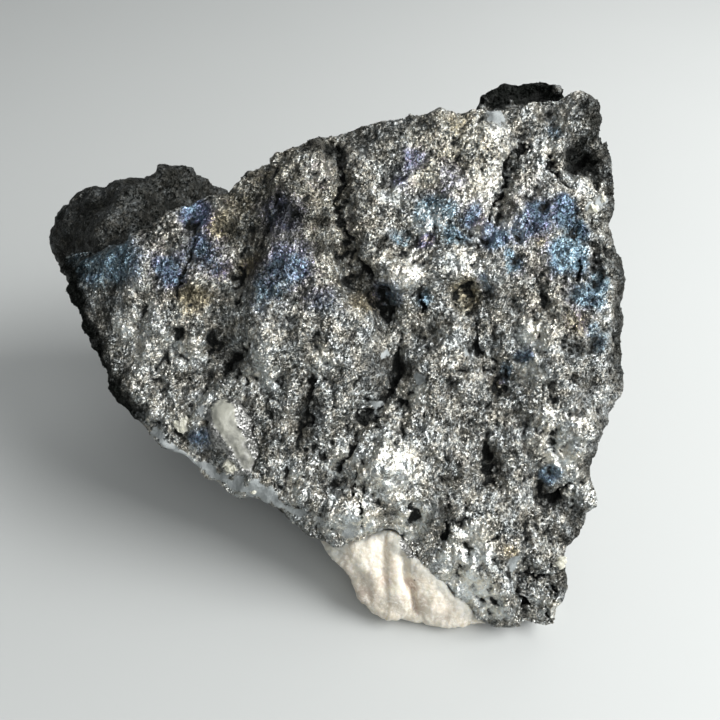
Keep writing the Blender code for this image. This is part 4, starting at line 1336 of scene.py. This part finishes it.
class SPECIMEN_OT_quartz(bpy.types.Operator):
    """Build the milky quartz bleb and the small white blebs"""

    bl_idname = "specimen.quartz"
    bl_label = "Quartz"

    def execute(self, context):
        quartz = context.scene.specimen_quartz
        piece = merged_copy("quartz_bleb", "quartz")
        remesh(piece, quartz.voxel, 6)
        ore = context.scene.specimen_ore
        points, normals = face_frame(piece)
        spots = ragged(points, 1.0, 0.35, 73)
        far, _, travel = follow(spots, QUARTZ_CORE)
        half = QUARTZ_CORE_WIDTHS[0] + travel * (QUARTZ_CORE_WIDTHS[1] - QUARTZ_CORE_WIDTHS[0])
        rim = smooth(far / half, 0.6, 1.25)
        height = quartz.grow / MM + 0.12 * swell(points, 1.1, 71) + 0.06 * shards(points, 0.9, 72)
        height += rim * (0.35 * shards(points, 1.1, 74) + 0.15 * shards(points, 0.5, 75) - 0.12)
        height -= (1.0 - rim) * (0.3 + 0.25 * travel)
        set_face_frame(piece, points + normals * height[:, None])
        store(piece, "milky", (1.0 - travel) ** 1.5)
        store(piece, "rim", rim)
        shade_smooth(piece, True)
        piece.data.materials.append(quartz_finish("quartz", quartz.milk, quartz.clear, ore))
        dress(piece, "quartz", "quartz")
        blebs = white_blebs(bpy.data.objects["ore_mass"])
        store(blebs, "milky", np.ones(len(blebs.data.vertices)))
        dull = [part * 0.6 for part in quartz.flake]
        blebs.data.materials.append(quartz_finish("white_blebs", quartz.flake, dull, ore))
        dress(blebs, "calcite")
        return {"FINISHED"}


def white_blebs(ground):
    """Small pale pieces, each set into the ore where a line down the face's frame meets it."""
    shape = bmesh.new()
    angular = []
    out = FACE_TO_WORLD.to_3x3() @ Vector((0.0, 0.0, 1.0))
    for (u, v), half, lift, turn, sharp in WHITE_BLEBS:
        start = FACE_TO_WORLD @ (Vector((u, v, 20.0)) * MM)
        hit, spot, _, _ = ground.ray_cast(start, -out)
        if not hit:
            raise RuntimeError(f"no ore under the white bleb at {u}, {v}")
        place = Matrix.Translation(spot + out * (lift * MM)) @ FACE_TO_WORLD.to_3x3().to_4x4()
        place = place @ Matrix.Rotation(math.radians(turn), 4, "Z")
        place = place @ Matrix.Diagonal((*[part * MM for part in half], 1.0))
        made = bmesh.ops.create_icosphere(shape, subdivisions=5, radius=1.0, matrix=place)
        angular += [sharp] * len(made["verts"])
    mesh = bpy.data.meshes.new("white_blebs")
    shape.to_mesh(mesh)
    shape.free()
    piece = new_object("white_blebs", mesh)
    points, normals = face_frame(piece)
    sharp = np.array(angular)
    height = 0.2 * swell(points, 0.9, 81) + 0.05 * shards(points, 0.3, 83)
    height += (0.15 + 0.35 * sharp) * shards(points, 0.8, 82)
    set_face_frame(piece, points + normals * height[:, None])
    shade_smooth(piece, False)
    return piece


class SPECIMEN_OT_stage(bpy.types.Operator):
    """Build the pale floor, the soft lights and the camera"""

    bl_idname = "specimen.stage"
    bl_label = "Stage"

    def execute(self, context):
        stage = context.scene.specimen_stage
        floor = new_object("floor", bpy.data.meshes.new("floor"))
        shape = bmesh.new()
        bmesh.ops.create_grid(shape, x_segments=1, y_segments=1, size=3.0)
        shape.to_mesh(floor.data)
        shape.free()
        finish = Finish("floor", 0.6)
        cloud = finish.noise(60 * MM, 2.0, 0.5)
        shade = [part * 0.97 for part in stage.floor]
        finish.set(Base_Color=finish.mix(cloud, rgba(shade), rgba(stage.floor)))
        floor.data.materials.append(finish.material)
        context.scene.view_settings.view_transform = "Standard"
        world = bpy.data.worlds.new("room")
        world.use_nodes = True
        backdrop = world.node_tree.nodes["Background"]
        backdrop.inputs["Color"].default_value = (0.92, 0.97, 1.0, 1.0)
        backdrop.inputs["Strength"].default_value = stage.sky
        context.scene.world = world
        middle = FACE_TO_WORLD.translation
        for name, power, size, place in (
            ("key", stage.key, 0.32, (0.36, -0.06, 0.3)),
            ("fill", stage.fill, 0.5, (0.12, -0.42, 0.5)),
            ("back", stage.back, 0.5, (0.3, 0.55, 0.5)),
        ):
            add_light(name, power, size, Vector(place), middle)
        camera = bpy.data.cameras.new("camera")
        camera.sensor_width = 36.0
        camera.lens = stage.lens
        camera.clip_start = 0.005
        camera.clip_end = 20.0
        viewer = new_object("camera", camera)
        viewer.matrix_world = FACE_TO_WORLD @ Matrix.Translation((0.0, 0.0, stage.distance))
        context.scene.camera = viewer
        return {"FINISHED"}


def add_light(name, power, size, place, aim):
    light = bpy.data.lights.new(name, "AREA")
    light.energy = power
    light.size = size
    lamp = new_object(name, light)
    lamp.location = place
    lamp.rotation_euler = (aim - place).to_track_quat("-Z", "Y").to_euler()


OPERATORS = (
    SPECIMEN_OT_ore,
    SPECIMEN_OT_grains,
    SPECIMEN_OT_calcite,
    SPECIMEN_OT_quartz,
    SPECIMEN_OT_stage,
)
SETTINGS = {
    "specimen_ore": OreSettings,
    "specimen_grains": GrainSettings,
    "specimen_calcite": CalciteSettings,
    "specimen_quartz": QuartzSettings,
    "specimen_stage": StageSettings,
}


class SPECIMEN_PT_panel(bpy.types.Panel):
    """Lists the specimen's pieces and their settings"""

    bl_label = "Skutterudite Specimen"
    bl_space_type = "VIEW_3D"
    bl_region_type = "UI"
    bl_category = "Specimen"

    def draw(self, context):
        for operator, settings in zip(OPERATORS, SETTINGS):
            box = self.layout.box()
            box.operator(operator.bl_idname)
            group = getattr(context.scene, settings)
            for name in group.__annotations__:
                box.prop(group, name)


def register():
    for settings in SETTINGS.values():
        bpy.utils.register_class(settings)
    for name, settings in SETTINGS.items():
        setattr(bpy.types.Scene, name, PointerProperty(type=settings))
    for operator in OPERATORS:
        bpy.utils.register_class(operator)
    bpy.utils.register_class(SPECIMEN_PT_panel)


def unregister():
    bpy.utils.unregister_class(SPECIMEN_PT_panel)
    for operator in reversed(OPERATORS):
        bpy.utils.unregister_class(operator)
    for name in SETTINGS:
        delattr(bpy.types.Scene, name)
    for settings in SETTINGS.values():
        bpy.utils.unregister_class(settings)


def main():
    register()
    bpy.ops.specimen.ore()
    bpy.ops.specimen.grains()
    bpy.ops.specimen.calcite()
    bpy.ops.specimen.quartz()
    bpy.ops.specimen.stage()


if __name__ == "__main__":
    main()
